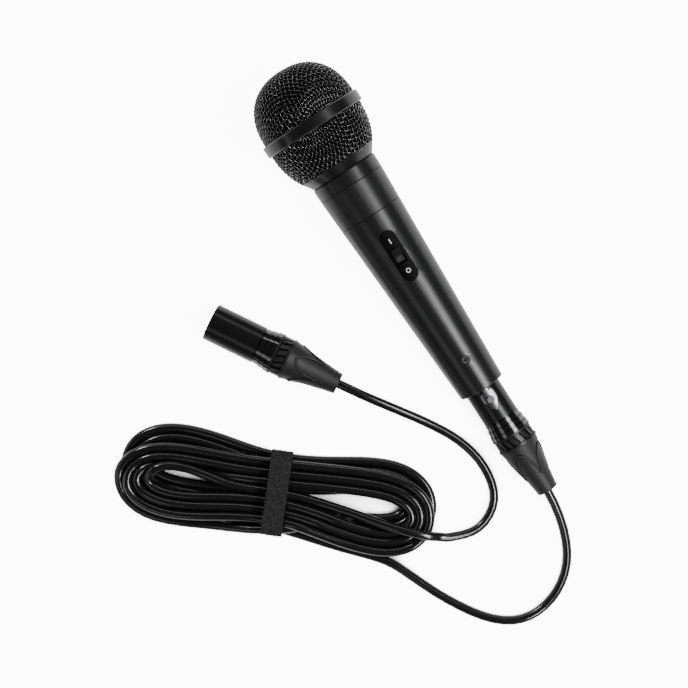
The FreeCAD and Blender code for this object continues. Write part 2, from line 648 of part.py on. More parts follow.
def switch_bezel():
    """A pill-shaped plate that follows the grip's round surface, with a window for the knob."""
    skin = Part.makeCone(grip_radius(RING_END) + BEZEL_PROUD, grip_radius(TAIL) + BEZEL_PROUD,
                         GRIP_LENGTH, V(-RING_END, 0, 0), V(-1, 0, 0))
    plate = bezel_prism(-BEZEL_DEPTH, BEZEL_WIDTH).common(skin)
    window = block((-WINDOW_LENGTH / 2, -WINDOW_WIDTH / 2, -BEZEL_WIDTH),
                   (WINDOW_LENGTH / 2, WINDOW_WIDTH / 2, BEZEL_WIDTH))
    return plate.cut(in_switch(window))


def switch_bracket():
    plate = block((-BRACKET_LENGTH / 2, -BRACKET_WIDTH / 2, HOUSING_TOP),
                  (BRACKET_LENGTH / 2, BRACKET_WIDTH / 2, BRACKET_TOP))
    return plate.cut(stem_slot(HOUSING_TOP, BRACKET_TOP))


def switch_housing():
    half = HOUSING_WIDTH / 2
    body = block((-HOUSING_LENGTH / 2, -half, HOUSING_BOTTOM),
                 (HOUSING_LENGTH / 2, half, HOUSING_TOP))
    wall = HOUSING_WALL
    room = block((-HOUSING_LENGTH / 2 + wall, -half + wall, HOUSING_BOTTOM + wall),
                 (HOUSING_LENGTH / 2 - wall, half - wall, HOUSING_TOP))
    return body.cut(room)


def terminal_places():
    pitch = HOUSING_LENGTH / (SWITCH_TERMINALS + 1)
    return [V((k + 1) * pitch - HOUSING_LENGTH / 2, 0, HOUSING_BOTTOM)
            for k in range(SWITCH_TERMINALS)]


def build_switch():
    screws = Part.makeCompound([switch_screw(x) for x in (-SCREW_SPREAD / 2, SCREW_SPREAD / 2)])
    placed_screws = in_switch(screws.copy())
    add("switch_bezel", switch_bezel().cut(placed_screws), MIC_PLACE)
    add("switch_screws", placed_screws, MIC_PLACE)
    add("switch_bracket", in_switch(switch_bracket().cut(screws)), MIC_PLACE)
    add("switch_housing", in_switch(switch_housing()), MIC_PLACE)
    add("switch_knob", in_switch(switch_knob()), MIC_PLACE)
    size = STEM_SIZE / 2
    contact = block((STEM_MIDDLE - size, -STEM_SIZE, STEM_LOW - CONTACT_THICKNESS),
                    (STEM_MIDDLE + size, STEM_SIZE, STEM_LOW))
    add("switch_contact", in_switch(contact), MIC_PLACE)
    posts = [Part.makeCylinder(TERMINAL_RADIUS, TERMINAL_LENGTH, place, V(0, 0, -1))
             for place in terminal_places()]
    add("switch_terminals", in_switch(Part.makeCompound(posts)), MIC_PLACE)


# ---------------------------------------------------------------- leads inside the handle

def terminal_tip(index):
    """The free end of a switch terminal, in the microphone's frame."""
    return SWITCH_PLACE.multVec(terminal_places()[index] - V(0, 0, TERMINAL_LENGTH))


def capsule_leads():
    leads = []
    for side, index in ((1, 3), (-1, 2)):
        tip = terminal_tip(index)
        start = V(-(CHAMBER_END + TERMINAL_LENGTH), side * TERMINAL_SPREAD, 0)
        points = [start, start - V(9, 0, 0), V(tip.x + 15, side * TERMINAL_SPREAD, tip.z - 7),
                  tip - V(0, 0, 5 + index), tip]
        leads.append(round_cord(points, LEAD_RADIUS)[0])
    return Part.makeCompound(leads)


def output_leads():
    leads = []
    for (y, z), index in zip(around(PIN_CIRCLE, PIN_ANGLES[1:]), (0, 1)):
        tip = terminal_tip(index)
        end = V(-INSERT_START, y, z)
        drop = 4 + 3 * index
        points = [tip, tip - V(0, 0, drop), V(tip.x - 18, y, -drop), end + V(12, 0, 0), end]
        leads.append(round_cord(points, LEAD_RADIUS)[0])
    return Part.makeCompound(leads)


def build_leads():
    add("capsule_leads", capsule_leads(), MIC_PLACE)
    add("output_leads", output_leads(), MIC_PLACE)


# ---------------------------------------------------------------- plugs, about their own axis

def plug_rear(shell_length, bore):
    """The stepped ring that screws into the back of a plug's shell."""
    step = REAR_LENGTH / len(REAR_STEPS)
    points = [(shell_length - REAR_SPIGOT, CHUCK_RADIUS), (shell_length - REAR_SPIGOT, bore),
              (shell_length, bore)]
    for k, radius in enumerate(REAR_STEPS):
        start = shell_length + k * step
        groove_end = start + REAR_GROOVE_WIDTH
        points += [(start, radius - REAR_GROOVE_DEPTH), (groove_end, radius - REAR_GROOVE_DEPTH),
                   (groove_end, radius), (start + step, radius)]
    points.append((shell_length + REAR_LENGTH, CHUCK_RADIUS))
    return turned(points)


def plug_bushing(start):
    """A plastic ring with a lip at each end and slanting slots between them."""
    end = start + BUSHING_LENGTH
    ring = turned([
        (start, CHUCK_RADIUS), (start, BUSHING_RADIUS), (start + BUSHING_LIP, BUSHING_RADIUS),
        (start + BUSHING_LIP, BUSHING_WAIST), (end - BUSHING_LIP, BUSHING_WAIST),
        (end - BUSHING_LIP, BUSHING_RADIUS), (end, BUSHING_RADIUS), (end, CHUCK_RADIUS),
    ])
    slot_length = BUSHING_LENGTH - 3 * BUSHING_LIP
    slots = []
    for k in range(BUSHING_SLOTS):
        slot = Part.makeBox(slot_length, BUSHING_SLOT_WIDTH, BUSHING_RADIUS,
                            V(-slot_length / 2, -BUSHING_SLOT_WIDTH / 2, BUSHING_WAIST - 0.6))
        slot.rotate(V(0, 0, 0), V(0, 0, 1), 20)
        slot.translate(V(-(start + end) / 2, 0, 0))
        slot.rotate(V(0, 0, 0), V(1, 0, 0), 360.0 * k / BUSHING_SLOTS)
        slots.append(slot)
    return ring.cut(Part.makeCompound(slots))


def plug_boot(start):
    """The tapered rubber sleeve that the cable leaves through."""
    end, middle = start + BOOT_LENGTH, start + BOOT_LENGTH / 2
    curve = Part.Arc(V(-start, 0, BOOT_START_RADIUS), V(-middle, 0, BOOT_MIDDLE_RADIUS),
                     V(-end, 0, BOOT_END_RADIUS)).toShape()
    corners = [V(-end, 0, BOOT_END_RADIUS), V(-end, 0, CABLE_RADIUS),
               V(-(start + CHUCK_REACH), 0, CABLE_RADIUS),
               V(-(start + CHUCK_REACH), 0, CHUCK_RADIUS), V(-start, 0, CHUCK_RADIUS),
               V(-start, 0, BOOT_START_RADIUS)]
    lines = [Part.LineSegment(a, b).toShape() for a, b in zip(corners, corners[1:])]
    face = Part.Face(Part.Wire(Part.__sortEdges__([curve] + lines)))
    return face.revolve(V(0, 0, 0), V(1, 0, 0), 360)


def plug_leads(front, back):
    """Three conductors that spread from the cable's end to the contacts."""
    leads = []
    for y, z in around(PIN_CIRCLE, PIN_ANGLES):
        reach = V(-front, y, z) - V(-back, y * 0.3, z * 0.3)
        leads.append(Part.makeCylinder(LEAD_RADIUS, reach.Length,
                                       V(-back, y * 0.3, z * 0.3), reach))
    return Part.makeCompound(leads)


def add_plug_back(prefix, shell_length, bore, insert_back, place):
    """What both plugs have alike, from the stepped ring to the boot."""
    bushing_start = shell_length + REAR_LENGTH
    boot_start = bushing_start + BUSHING_LENGTH
    add(prefix + "_rear_ring", plug_rear(shell_length, bore), place)
    add(prefix + "_bushing", plug_bushing(bushing_start), place)
    add(prefix + "_boot", plug_boot(boot_start), place)
    chuck_start = shell_length - CHUCK_START
    chuck_end = boot_start + CHUCK_REACH
    add(prefix + "_chuck", tube(chuck_start, chuck_end, CHUCK_RADIUS, CABLE_RADIUS), place)
    add(prefix + "_leads", plug_leads(insert_back, chuck_start), place)


def latch_inner_radius():
    return MIC_SHELL_RADIUS + LATCH_PROUD - LATCH_WALL


def latch_outline(grow):
    """The latch seen from above: wide at the front, narrow and round at the back."""
    start, end = LATCH_START - grow, LATCH_START + LATCH_LENGTH + grow
    wide, narrow = LATCH_WIDTH / 2 + grow, LATCH_TIP / 2 + grow
    corner = LATCH_START + LATCH_BUTTON_SETBACK
    points = [V(-start, -wide * 0.8, 0), V(-start - 1.2, -wide, 0), V(-corner, -wide, 0),
              V(-end + narrow, -narrow, 0), V(-end, 0, 0), V(-end + narrow, narrow, 0),
              V(-corner, wide, 0), V(-start - 1.2, wide, 0), V(-start, wide * 0.8, 0)]
    face = Part.Face(Part.makePolygon(points + points[:1]))
    return face.extrude(V(0, 0, MIC_SHELL_RADIUS * 2))


def latch_pin(radius, length):
    """A rod on the latch's pivot axis."""
    x = -(LATCH_START + LATCH_LENGTH - LATCH_PIN_SETBACK)
    z = latch_inner_radius() - LATCH_PIN_DROP
    return Part.makeCylinder(radius, length, V(x, -length / 2, z), V(0, 1, 0))


def latch():
    """A sprung thumb plate with a round button and a tongue that reaches into the handle."""
    inner = latch_inner_radius()
    back = LATCH_START + LATCH_LENGTH
    skin = tube(0, back, inner + LATCH_WALL, inner)
    plate = latch_outline(0).common(skin)
    setback = LATCH_START + LATCH_BUTTON_SETBACK
    button_top = inner + LATCH_WALL + LATCH_BUTTON_HEIGHT
    button = Part.makeCylinder(LATCH_BUTTON_RADIUS, button_top - inner - LATCH_WALL / 2,
                               V(-setback, 0, inner + LATCH_WALL / 2))
    tip = PLUG_GAP + TONGUE_REACH
    tongue = block((-LATCH_START - 1, -TONGUE_WIDTH / 2, inner),
                   (tip, TONGUE_WIDTH / 2, inner + LATCH_WALL))
    tongue = tongue.common(tube(-tip, LATCH_START + 1, inner + LATCH_WALL))
    hole = latch_pin(LATCH_PIN_RADIUS + CONTACT_CLEARANCE, LATCH_PIN_LENGTH)
    knuckle = latch_pin(LATCH_PIN_RADIUS + CONTACT_CLEARANCE + LATCH_KNUCKLE_WALL, LATCH_TIP)
    return joined([plate, button, tongue, knuckle]).cut(hole)


def latch_room():
    """What the latch and its travel need: a pocket in the shell and in the insert's top."""
    floor = latch_inner_radius() - LATCH_PRESS_DEPTH
    pocket = latch_outline(LATCH_CLEARANCE).common(
        block((-MIC_SHELL_LENGTH, -MIC_SHELL_RADIUS, floor),
              (0, MIC_SHELL_RADIUS, 2 * MIC_SHELL_RADIUS)))
    width = TONGUE_WIDTH / 2 + KEYWAY_CLEARANCE
    reach = PLUG_GAP + TONGUE_REACH + KEYWAY_CLEARANCE
    slot = block((-LATCH_START - 1, -width, floor), (reach, width, 2 * MIC_SHELL_RADIUS))
    return pocket.fuse(slot)


def build_mic_plug():
    place = MIC_PLACE.multiply(FreeCAD.Placement(V(-PLUG_FRONT, 0, 0), FreeCAD.Rotation()))
    room = latch_room()
    groove = tube(LATCH_START * 0.5, LATCH_START * 0.75, MIC_SHELL_RADIUS + 1,
                  MIC_SHELL_RADIUS - 0.25)
    pin = latch_pin(LATCH_PIN_RADIUS, LATCH_PIN_LENGTH)
    shell = tube(0, MIC_SHELL_LENGTH, MIC_SHELL_RADIUS, INSERT_RADIUS).cut(groove).cut(room)
    add("mic_plug_shell", shell.cut(pin), place)
    add("mic_plug_latch_pin", pin, place)
    nose = -(SOCKET_DEPTH - NOSE_END_GAP + PLUG_GAP)
    radius = PIN_RADIUS + CONTACT_CLEARANCE
    contacts = [outer.cut(inner) for outer, inner in zip(
        rods(nose, INSERT_TAIL, radius + CONTACT_WALL, PIN_CIRCLE, PIN_ANGLES),
        rods(nose, INSERT_TAIL - 1, radius, PIN_CIRCLE, PIN_ANGLES))]
    sockets = rods(nose, INSERT_TAIL, radius + CONTACT_WALL, PIN_CIRCLE, PIN_ANGLES)
    insert = tube(nose, 0, SOCKET_RADIUS - NOSE_CLEARANCE).fuse(tube(0, INSERT_TAIL, INSERT_RADIUS))
    insert = insert.removeSplitter().cut(Part.makeCompound(sockets)).cut(room).cut(pin)
    add("mic_plug_insert", insert, place)
    add("mic_plug_contacts", Part.makeCompound(contacts), place)
    add("mic_plug_latch", latch(), place)
    add_plug_back("mic_plug", MIC_SHELL_LENGTH, INSERT_RADIUS, INSERT_TAIL, place)
    return place


def build_far_plug():
    insert_end = FAR_MOUTH_DEPTH + SOCKET_INSERT_LENGTH / 2
    shell = tube(0, FAR_SHELL_LENGTH, FAR_SHELL_RADIUS, FAR_BORE)
    add("far_plug_shell", shell, FAR_PLACE)
    pins = rods(FAR_PIN_SETBACK, insert_end, PIN_RADIUS, PIN_CIRCLE, PIN_ANGLES)
    insert = tube(FAR_MOUTH_DEPTH, insert_end, FAR_BORE).cut(Part.makeCompound(pins))
    add("far_plug_insert", insert, FAR_PLACE)
    add("far_plug_pins", Part.makeCompound(pins), FAR_PLACE)
    add_plug_back("far_plug", FAR_SHELL_LENGTH, FAR_BORE, insert_end, FAR_PLACE)


# ---------------------------------------------------------------- cable

def hank_waist():
    """The hank's section under the tie."""
    width = TIE_LENGTH - 2 * TIE_THICKNESS
    height = TIE_HEIGHT - 2 * TIE_THICKNESS
    return rounded_bar(width, height, TIE_CORNER - TIE_THICKNESS, TIE_THICKNESS)


def rounded_bar(width, height, corner, low):
    """A bar across the hank's length, as long as the tie is wide, with round long edges."""
    bar = Part.makeBox(TIE_WIDTH, width, height, V(-TIE_WIDTH / 2, -width / 2, low))
    long_edges = [edge for edge in bar.Edges if abs(edge.tangentAt(edge.FirstParameter).x) > 0.9]
    return bar.makeFillet(corner, long_edges)


def hank():
    curve = Part.BSplineCurve()
    curve.interpolate(Points=[V(x, y, 0) for x, y in HANK_OUTLINE], PeriodicFlag=True)
    body = Part.Face(Part.Wire(curve.toShape())).extrude(V(0, 0, HANK_HEIGHT))
    rims = [edge for edge in body.Edges
            if edge.BoundBox.ZLength < 0.001 and edge.Length > TIE_LENGTH]
    body = body.makeFillet(HANK_EDGE, rims)
    slab = Part.makeBox(TIE_WIDTH, 2 * TIE_LENGTH, 2 * HANK_HEIGHT,
                        V(-TIE_WIDTH / 2, -TIE_LENGTH, -HANK_HEIGHT / 2))
    return body.cut(slab).fuse(hank_waist())


def build_cable(mic_plug_place):
    boot_end = REAR_LENGTH + BUSHING_LENGTH + BOOT_LENGTH
    routes = {
        "cable_from_mic": (mic_plug_place, MIC_SHELL_LENGTH + boot_end, NEAR_ROUTE),
        "cable_to_far_plug": (FAR_PLACE, FAR_SHELL_LENGTH + boot_end, FAR_ROUTE),
    }
    for name, (place, end, route) in routes.items():
        start = place.multVec(V(-(end - CABLE_IN_BOOT), 0, 0))
        free = place.multVec(V(-(end + CABLE_OUT_OF_BOOT), 0, 0))
        cord, radii, length = round_cord([start, free] + route, CABLE_RADIUS)
        expected = math.pi * CABLE_RADIUS ** 2 * length
        print(name, "length", round(length, 1), "volume ratio", round(cord.Volume / expected, 4),
              "radii", [round(radius, 1) for radius in radii])
        nodes[name] = cord
    add("cable_hank", hank(), HANK_PLACE)
    tie = rounded_bar(TIE_LENGTH, TIE_HEIGHT, TIE_CORNER, 0).cut(hank_waist())
    add("cable_tie", tie, HANK_PLACE)


# ---------------------------------------------------------------- all of it

build_head()
build_capsule()
build_handle()
build_switch()
build_leads()
plug_place = build_mic_plug()
build_far_plug()
build_cable(plug_place)

os.makedirs("parts", exist_ok=True)
for node_name, node_shape in nodes.items():
    node_shape.exportStep("parts/" + node_name + ".step")
print(len(nodes), "nodes, tilt", round(math.degrees(TILT), 3), "tip", TIP)
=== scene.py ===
"""A dynamic vocal microphone plugged into a tied cable: its looks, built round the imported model.

Everything is in metres, in the model's own frame: the table is z = 0 and +X runs along the
microphone towards its head.
"""

import json
import math

import bmesh
import bpy
import numpy as np
from mathutils import Matrix, Vector
from mathutils.bvhtree import BVHTree


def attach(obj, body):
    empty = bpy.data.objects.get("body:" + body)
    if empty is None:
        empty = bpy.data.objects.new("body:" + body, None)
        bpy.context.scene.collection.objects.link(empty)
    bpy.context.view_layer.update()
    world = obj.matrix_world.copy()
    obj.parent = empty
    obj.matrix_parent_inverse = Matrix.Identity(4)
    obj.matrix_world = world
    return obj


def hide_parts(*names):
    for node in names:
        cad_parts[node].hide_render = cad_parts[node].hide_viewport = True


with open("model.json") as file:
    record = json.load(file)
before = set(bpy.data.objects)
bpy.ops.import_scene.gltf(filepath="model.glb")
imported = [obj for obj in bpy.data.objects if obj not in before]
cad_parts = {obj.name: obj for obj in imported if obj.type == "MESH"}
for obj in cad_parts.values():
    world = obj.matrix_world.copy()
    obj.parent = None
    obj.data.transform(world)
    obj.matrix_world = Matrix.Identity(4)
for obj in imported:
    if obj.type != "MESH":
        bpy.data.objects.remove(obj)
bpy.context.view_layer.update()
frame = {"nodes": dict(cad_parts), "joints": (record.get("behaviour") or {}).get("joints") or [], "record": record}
record = frame["record"]
joints = {joint["name"]: joint for joint in frame["joints"]}
mounts = {mount["name"]: mount for mount in record["mounts"]}


# ---------------------------------------------------------------- places taken from the frame

def axis_frame(point, along):
    """A matrix whose X axis runs along a direction and whose Z axis is as upright as it can be."""
    x = Vector(along).normalized()
    y = Vector((0, 0, 1)).cross(x).normalized()
    z = x.cross(y)
    turn = Matrix((x, y, z)).transposed().to_4x4()
    return Matrix.Translation(Vector(point)) @ turn


HEAD_JOINT_STATION = 0.0582     # from the dome's tip to the head's thread

head_joint = joints["head_unscrew"]
mic_frame = axis_frame(head_joint["pos_m"], head_joint["axis"])
head_end_frame = mic_frame @ Matrix.Translation((HEAD_JOINT_STATION, 0, 0))
far_mount = mounts["far_plug_shell_outside"]
far_frame = axis_frame(far_mount["pos_m"], far_mount["axis"])
slide_joint = joints["switch_slide"]
switch_frame = axis_frame(slide_joint.get("pos_m") or mic_frame.translation,
                          [-c for c in slide_joint["axis"]])


def span(node, place):
    """The lowest and highest place of a CAD node along a frame's X axis."""
    back = place.inverted()
    along = [(back @ vertex.co).x for vertex in frame["nodes"][node].data.vertices]
    return min(along), max(along)


# ---------------------------------------------------------------- nodes

def set_inputs(node, values):
    """Sets inputs of a node, named or numbered, to plain values."""
    for socket, value in values.items():
        node.inputs[socket].default_value = value


def add_node(tree, kind, values=None, operation=None):
    """A new node with its operation and the values of its inputs."""
    node = tree.nodes.new(kind)
    if operation:
        node.operation = operation
    set_inputs(node, values or {})
    return node


def new_material(name):
    """An empty Principled material: itself, its tree and its shader."""
    material = bpy.data.materials.new(name)
    material.use_nodes = True
    tree = material.node_tree
    return material, tree, tree.nodes["Principled BSDF"]


# ---------------------------------------------------------------- camera, floor and light

VIEW_TURN = -123.0            # degrees, the camera's turn about the vertical
VIEW_POINT = (-0.0367, 0.0459)
VIEW_HEIGHT = 1.0
LENS = 103.6
SENSOR = 36.0


def make_camera():
    """A camera that looks straight down on the table."""
    data = bpy.data.cameras.new("camera")
    data.lens, data.sensor_width = LENS, SENSOR
    camera = bpy.data.objects.new("camera", data)
    camera.location = (*VIEW_POINT, VIEW_HEIGHT)
    camera.rotation_euler = (0, 0, math.radians(VIEW_TURN))
    bpy.context.scene.collection.objects.link(camera)
    bpy.context.scene.camera = camera


def make_area(name, place, target, size, power):
    """A soft box that shines at a target."""
    data = bpy.data.lights.new(name, "AREA")
    data.shape, data.size, data.size_y, data.energy = "RECTANGLE", size[0], size[1], power
    light = bpy.data.objects.new(name, data)
    light.location = place
    aim = Vector(target) - Vector(place)
    light.rotation_euler = aim.to_track_quat("-Z", "Y").to_euler()
    bpy.context.scene.collection.objects.link(light)


def in_view(right, up, height):
    """A place given to the right and up as the camera sees them, and above the table."""
    turn = math.radians(VIEW_TURN)
    x = VIEW_POINT[0] + right * math.cos(turn) - up * math.sin(turn)
    y = VIEW_POINT[1] + right * math.sin(turn) + up * math.cos(turn)
    return (x, y, height)


ROOM_LIGHT = 0.05


def make_world():
    """A dim room: what a dark surface mirrors towards the camera is black."""
    world = bpy.data.worlds.new("studio")
    world.use_nodes = True
    set_inputs(world.node_tree.nodes["Background"],
               {"Color": (1, 1, 1, 1), "Strength": ROOM_LIGHT})
    bpy.context.scene.world = world


FLOOR_HALF = 3.0
FLOOR_GLOW = 11.0             # what the camera sees
FLOOR_LIGHT = 0.58            # what falls on the object
GAP_REACH = 0.02              # painted shadow: the floor's glow is dimmed where something stands nearer than this
GAP_CLOSED, GAP_OPEN = 0.20, 0.55   # share of free sky at which the painted shadow is full, and gone
GAP_LEAST = 0.15
GAP_POWER = 3


def make_floor():
    """A white table, lit from inside as well, so that only narrow gaps show shadow on it: a painted shadow, its
    glow dimmed by ambient occlusion.
    """
    floor = bpy.data.meshes.new("floor")
    floor.from_pydata([(x * FLOOR_HALF, y * FLOOR_HALF, 0)
                       for x, y in ((-1, -1), (1, -1), (1, 1), (-1, 1))], [], [(0, 1, 2, 3)])
    floor_object = bpy.data.objects.new("floor", floor)
    bpy.context.scene.collection.objects.link(floor_object)
    material, tree, shader = new_material("white_floor")
    set_inputs(shader, {"Base Color": (0.95, 0.95, 0.95, 1), "Roughness": 0.8,
                        "Specular IOR Level": 0.1, "Emission Color": (1, 1, 1, 1)})
    seen = add_node(tree, "ShaderNodeLightPath")
    glow = add_node(tree, "ShaderNodeMapRange", {"To Min": FLOOR_LIGHT, "To Max": FLOOR_GLOW})
    # painted shadow: ambient occlusion dims the floor's glow in narrow gaps
    hidden = add_node(tree, "ShaderNodeAmbientOcclusion", {"Distance": GAP_REACH})
    shade = add_node(tree, "ShaderNodeMapRange",
                     {"From Min": GAP_CLOSED, "From Max": GAP_OPEN, "To Min": GAP_LEAST})
    steep = add_node(tree, "ShaderNodeMath", {1: GAP_POWER}, "POWER")
    product = add_node(tree, "ShaderNodeMath", operation="MULTIPLY")
    link = tree.links.new
    link(seen.outputs["Is Camera Ray"], glow.inputs["Value"])
    link(hidden.outputs["AO"], shade.inputs["Value"])
    link(shade.outputs["Result"], steep.inputs[0])
    link(steep.outputs["Value"], product.inputs[0])
    link(glow.outputs["Result"], product.inputs[1])
    link(product.outputs["Value"], shader.inputs["Emission Strength"])
    floor.materials.append(material)


# Soft boxes: name, place as the camera sees it, size and power.
LIGHTS = [
    ("right_box", (0.62, -0.08, 0.93), (0.90, 0.24), 9),
    ("left_strip", (-0.80, 0.0, 0.45), (1.1, 0.14), 1.0),
    ("top_strip", (0.05, 0.85, 0.60), (1.1, 0.14), 1.6),
    ("right_spark", (0.56, -0.16, 0.90), (0.16, 0.16), 3.5),
    ("left_box", (-0.50, -0.80, 0.90), (0.40, 0.40), 0.7),
    ("head_spark", (-0.46, 0.65, 0.56), (0.16, 0.16), 2.8),
    ("tail_spark", (0.40, -0.62, 0.56), (0.12, 0.12), 1.6),
]


def make_studio():
    """The dim room, the table and the soft boxes."""
    make_world()
    make_floor()
    target = in_view(0, 0, 0)
    for name, place, size, power in LIGHTS:
        make_area(name, in_view(*place), target, size, power)


# ---------------------------------------------------------------- finishes

GRAIN_DETAIL = 4
GRAIN_STRENGTH = 0.5
LEAST_ROUGHNESS = 0.02
COAT_ROUGHNESS = 0.12
GROOVE_SHADE_FULL, GROOVE_SHADE_GONE = 0.55, 0.95     # share of free sky in a groove, where the painted shade is full, and outside it, where it is gone


def add_grain(tree, shader, size, roughness, spread, depth):
    """Fine unevenness in the gloss and in the surface itself, by noise across the object."""
    link = tree.links.new
    place = add_node(tree, "ShaderNodeTexCoord")
    noise = add_node(tree, "ShaderNodeTexNoise", {"Scale": 1 / size, "Detail": GRAIN_DETAIL})
    link(place.outputs["Object"], noise.inputs["Vector"])
    gloss = add_node(tree, "ShaderNodeMapRange",
                     {"To Min": max(roughness - spread, LEAST_ROUGHNESS),
                      "To Max": roughness + spread})
    link(noise.outputs["Fac"], gloss.inputs["Value"])
    link(gloss.outputs["Result"], shader.inputs["Roughness"])
    bump = add_node(tree, "ShaderNodeBump", {"Strength": GRAIN_STRENGTH, "Distance": depth})
    link(noise.outputs["Fac"], bump.inputs["Height"])
    link(bump.outputs["Normal"], shader.inputs["Normal"])


def add_painted_groove_shade(tree, shader, reach, colour, specular):
    """Paints shade into grooves and corners narrower than the reach: it takes out their colour and gloss."""
    link = tree.links.new
    hidden = add_node(tree, "ShaderNodeAmbientOcclusion", {"Distance": reach})
    shown = add_node(tree, "ShaderNodeMapRange",
                     {"From Min": GROOVE_SHADE_FULL, "From Max": GROOVE_SHADE_GONE})
    gloss = add_node(tree, "ShaderNodeMath", {1: specular}, "MULTIPLY")
    shade = add_node(tree, "ShaderNodeVectorMath", {0: colour}, "SCALE")
    link(hidden.outputs["AO"], shown.inputs["Value"])
    link(shown.outputs["Result"], gloss.inputs[0])
    link(gloss.outputs["Value"], shader.inputs["Specular IOR Level"])
    link(shown.outputs["Result"], shade.inputs["Scale"])
    link(shade.outputs["Vector"], shader.inputs["Base Color"])


def plain_finish(name, colour, metallic=0.0, roughness=0.4, size=0.0006, spread=0.04,
                 depth=0.00001, specular=0.5, coat=0.0, groove_shade_reach=None):
    """A material of one colour; size, spread and depth are of its grain; the last argument, if given, is the reach
    of painted shade in grooves and corners.
    """
    material, tree, shader = new_material(name)
    set_inputs(shader, {"Base Color": (*colour, 1), "Metallic": metallic,
                        "Specular IOR Level": specular, "Coat Weight": coat,
                        "Coat Roughness": COAT_ROUGHNESS})
    add_grain(tree, shader, size, roughness, spread, depth)
    if groove_shade_reach:
        add_painted_groove_shade(tree, shader, groove_shade_reach, colour, specular)
    return material


# Finishes given a reach at the end have painted shade in their grooves and corners, taken from ambient occlusion.
FINISHES = {
    "grille_steel": dict(colour=(0.002, 0.002, 0.0022), roughness=0.10, spread=0.03,
                         depth=0.000002, specular=0.8, coat=0.3),
    "band_satin": dict(colour=(0.006, 0.006, 0.0065), roughness=0.26, size=0.001,
                       spread=0.02, depth=0.000001, specular=0.4),
    "collar_satin": dict(colour=(0.005, 0.005, 0.0055), roughness=0.26, size=0.001,
                         spread=0.02, depth=0.000001, specular=0.4),
    "foam": dict(colour=(0.003, 0.003, 0.003), roughness=0.95, size=0.0009, depth=0.0003,
                 specular=0.03),
    "handle_black": dict(colour=(0.008, 0.008, 0.0085), roughness=0.29, size=0.00025,
                         spread=0.02, depth=0.000004, specular=0.42),
    "ring_black": dict(colour=(0.008, 0.008, 0.0085), roughness=0.33, size=0.00025,
                       spread=0.02, depth=0.000004, specular=0.42),
    "black_rubber": dict(colour=(0.012, 0.012, 0.012), roughness=0.48, size=0.0005,
                         spread=0.10, depth=0.00010, specular=0.4, groove_shade_reach=0.0008),
    "capsule_metal": dict(colour=(0.55, 0.55, 0.56), metallic=0.9, roughness=0.45),
    "cloth": dict(colour=(0.10, 0.10, 0.10), roughness=0.9, size=0.0004, depth=0.00008),
    "film": dict(colour=(0.75, 0.70, 0.55), roughness=0.15, spread=0.02),
    "copper_winding": dict(colour=(0.72, 0.38, 0.20), metallic=0.9, roughness=0.3),
    "steel": dict(colour=(0.50, 0.50, 0.51), metallic=0.95, roughness=0.35),
    "magnet_metal": dict(colour=(0.42, 0.42, 0.44), metallic=0.95, roughness=0.28),
    "black_plastic": dict(colour=(0.009, 0.009, 0.009), roughness=0.38, size=0.0003,
                          spread=0.04, depth=0.000006, specular=0.4, groove_shade_reach=0.0012),
    "bezel_black": dict(colour=(0.0015, 0.0015, 0.0015), roughness=0.50, size=0.0003,
                        spread=0.04, depth=0.000006, specular=0.06),
    "knob_plastic": dict(colour=(0.010, 0.010, 0.011), roughness=0.16, specular=0.7),
    "contact_metal": dict(colour=(0.83, 0.68, 0.36), metallic=0.95, roughness=0.25),
    "screw_steel": dict(colour=(0.080, 0.080, 0.083), metallic=0.9, roughness=0.30,
                        groove_shade_reach=0.0006),
    "board": dict(colour=(0.35, 0.25, 0.12), roughness=0.6, depth=0.00003),
    "wire_insulation": dict(colour=(0.55, 0.08, 0.06), roughness=0.4),
    "connector_black": dict(colour=(0.005, 0.005, 0.0055), roughness=0.27,
                            size=0.0003, spread=0.02, depth=0.000004, specular=0.34),
    "connector_gloss": dict(colour=(0.005, 0.005, 0.0055), roughness=0.12, spread=0.02,
                            depth=0.000003, specular=1.0, groove_shade_reach=0.0007),
    "latch_silver": dict(colour=(0.24, 0.24, 0.25), metallic=1.0, roughness=0.26,
                         groove_shade_reach=0.0010),
    "insert_plastic": dict(colour=(0.010, 0.010, 0.010), roughness=0.5),
    "cable_jacket": dict(colour=(0.006, 0.006, 0.0065), roughness=0.18, size=0.004,
                         spread=0.03, depth=0.000004, specular=0.7),
    "tie_fabric": dict(colour=(0.004, 0.004, 0.004), roughness=0.9, size=0.0005,
                       spread=0.03, depth=0.0012, specular=0.15),
    "white_print": dict(colour=(0.70, 0.70, 0.70), roughness=0.5),
}
materials = {name: plain_finish(name, **finish) for name, finish in FINISHES.items()}


def fleck_with_painted_glints(material, size, low, high):
    """Gives a finish light and dark flecks; the light flecks are painted glints of lit fibres on hook-and-loop
    cloth.
    """
    tree = material.node_tree
    link = tree.links.new
    place = add_node(tree, "ShaderNodeTexCoord")
    cells = add_node(tree, "ShaderNodeTexVoronoi", {"Scale": 1 / size})
    ramp = add_node(tree, "ShaderNodeValToRGB")
    for stop, grey in zip(ramp.color_ramp.elements, (low, high)):
        stop.color = (grey, grey, grey, 1)
    link(place.outputs["Object"], cells.inputs["Vector"])
    link(cells.outputs["Distance"], ramp.inputs["Fac"])
    link(ramp.outputs["Color"], tree.nodes["Principled BSDF"].inputs["Base Color"])


# painted glints: the tie's light flecks stand for lit fibres
fleck_with_painted_glints(materials["tie_fabric"], size=0.0007, low=0.001, high=0.05)

OWN_FINISH = {"switch_bezel": "bezel_black"}      # nodes that don't take their slot's finish


def finish_nodes():
    """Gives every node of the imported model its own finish, or else that of its slot."""
    for row in record["subparts"]:
        mesh = frame["nodes"][row["node"]].data
        mesh.materials.clear()
        mesh.materials.append(materials[OWN_FINISH.get(row["node"], row["material_slot"])])


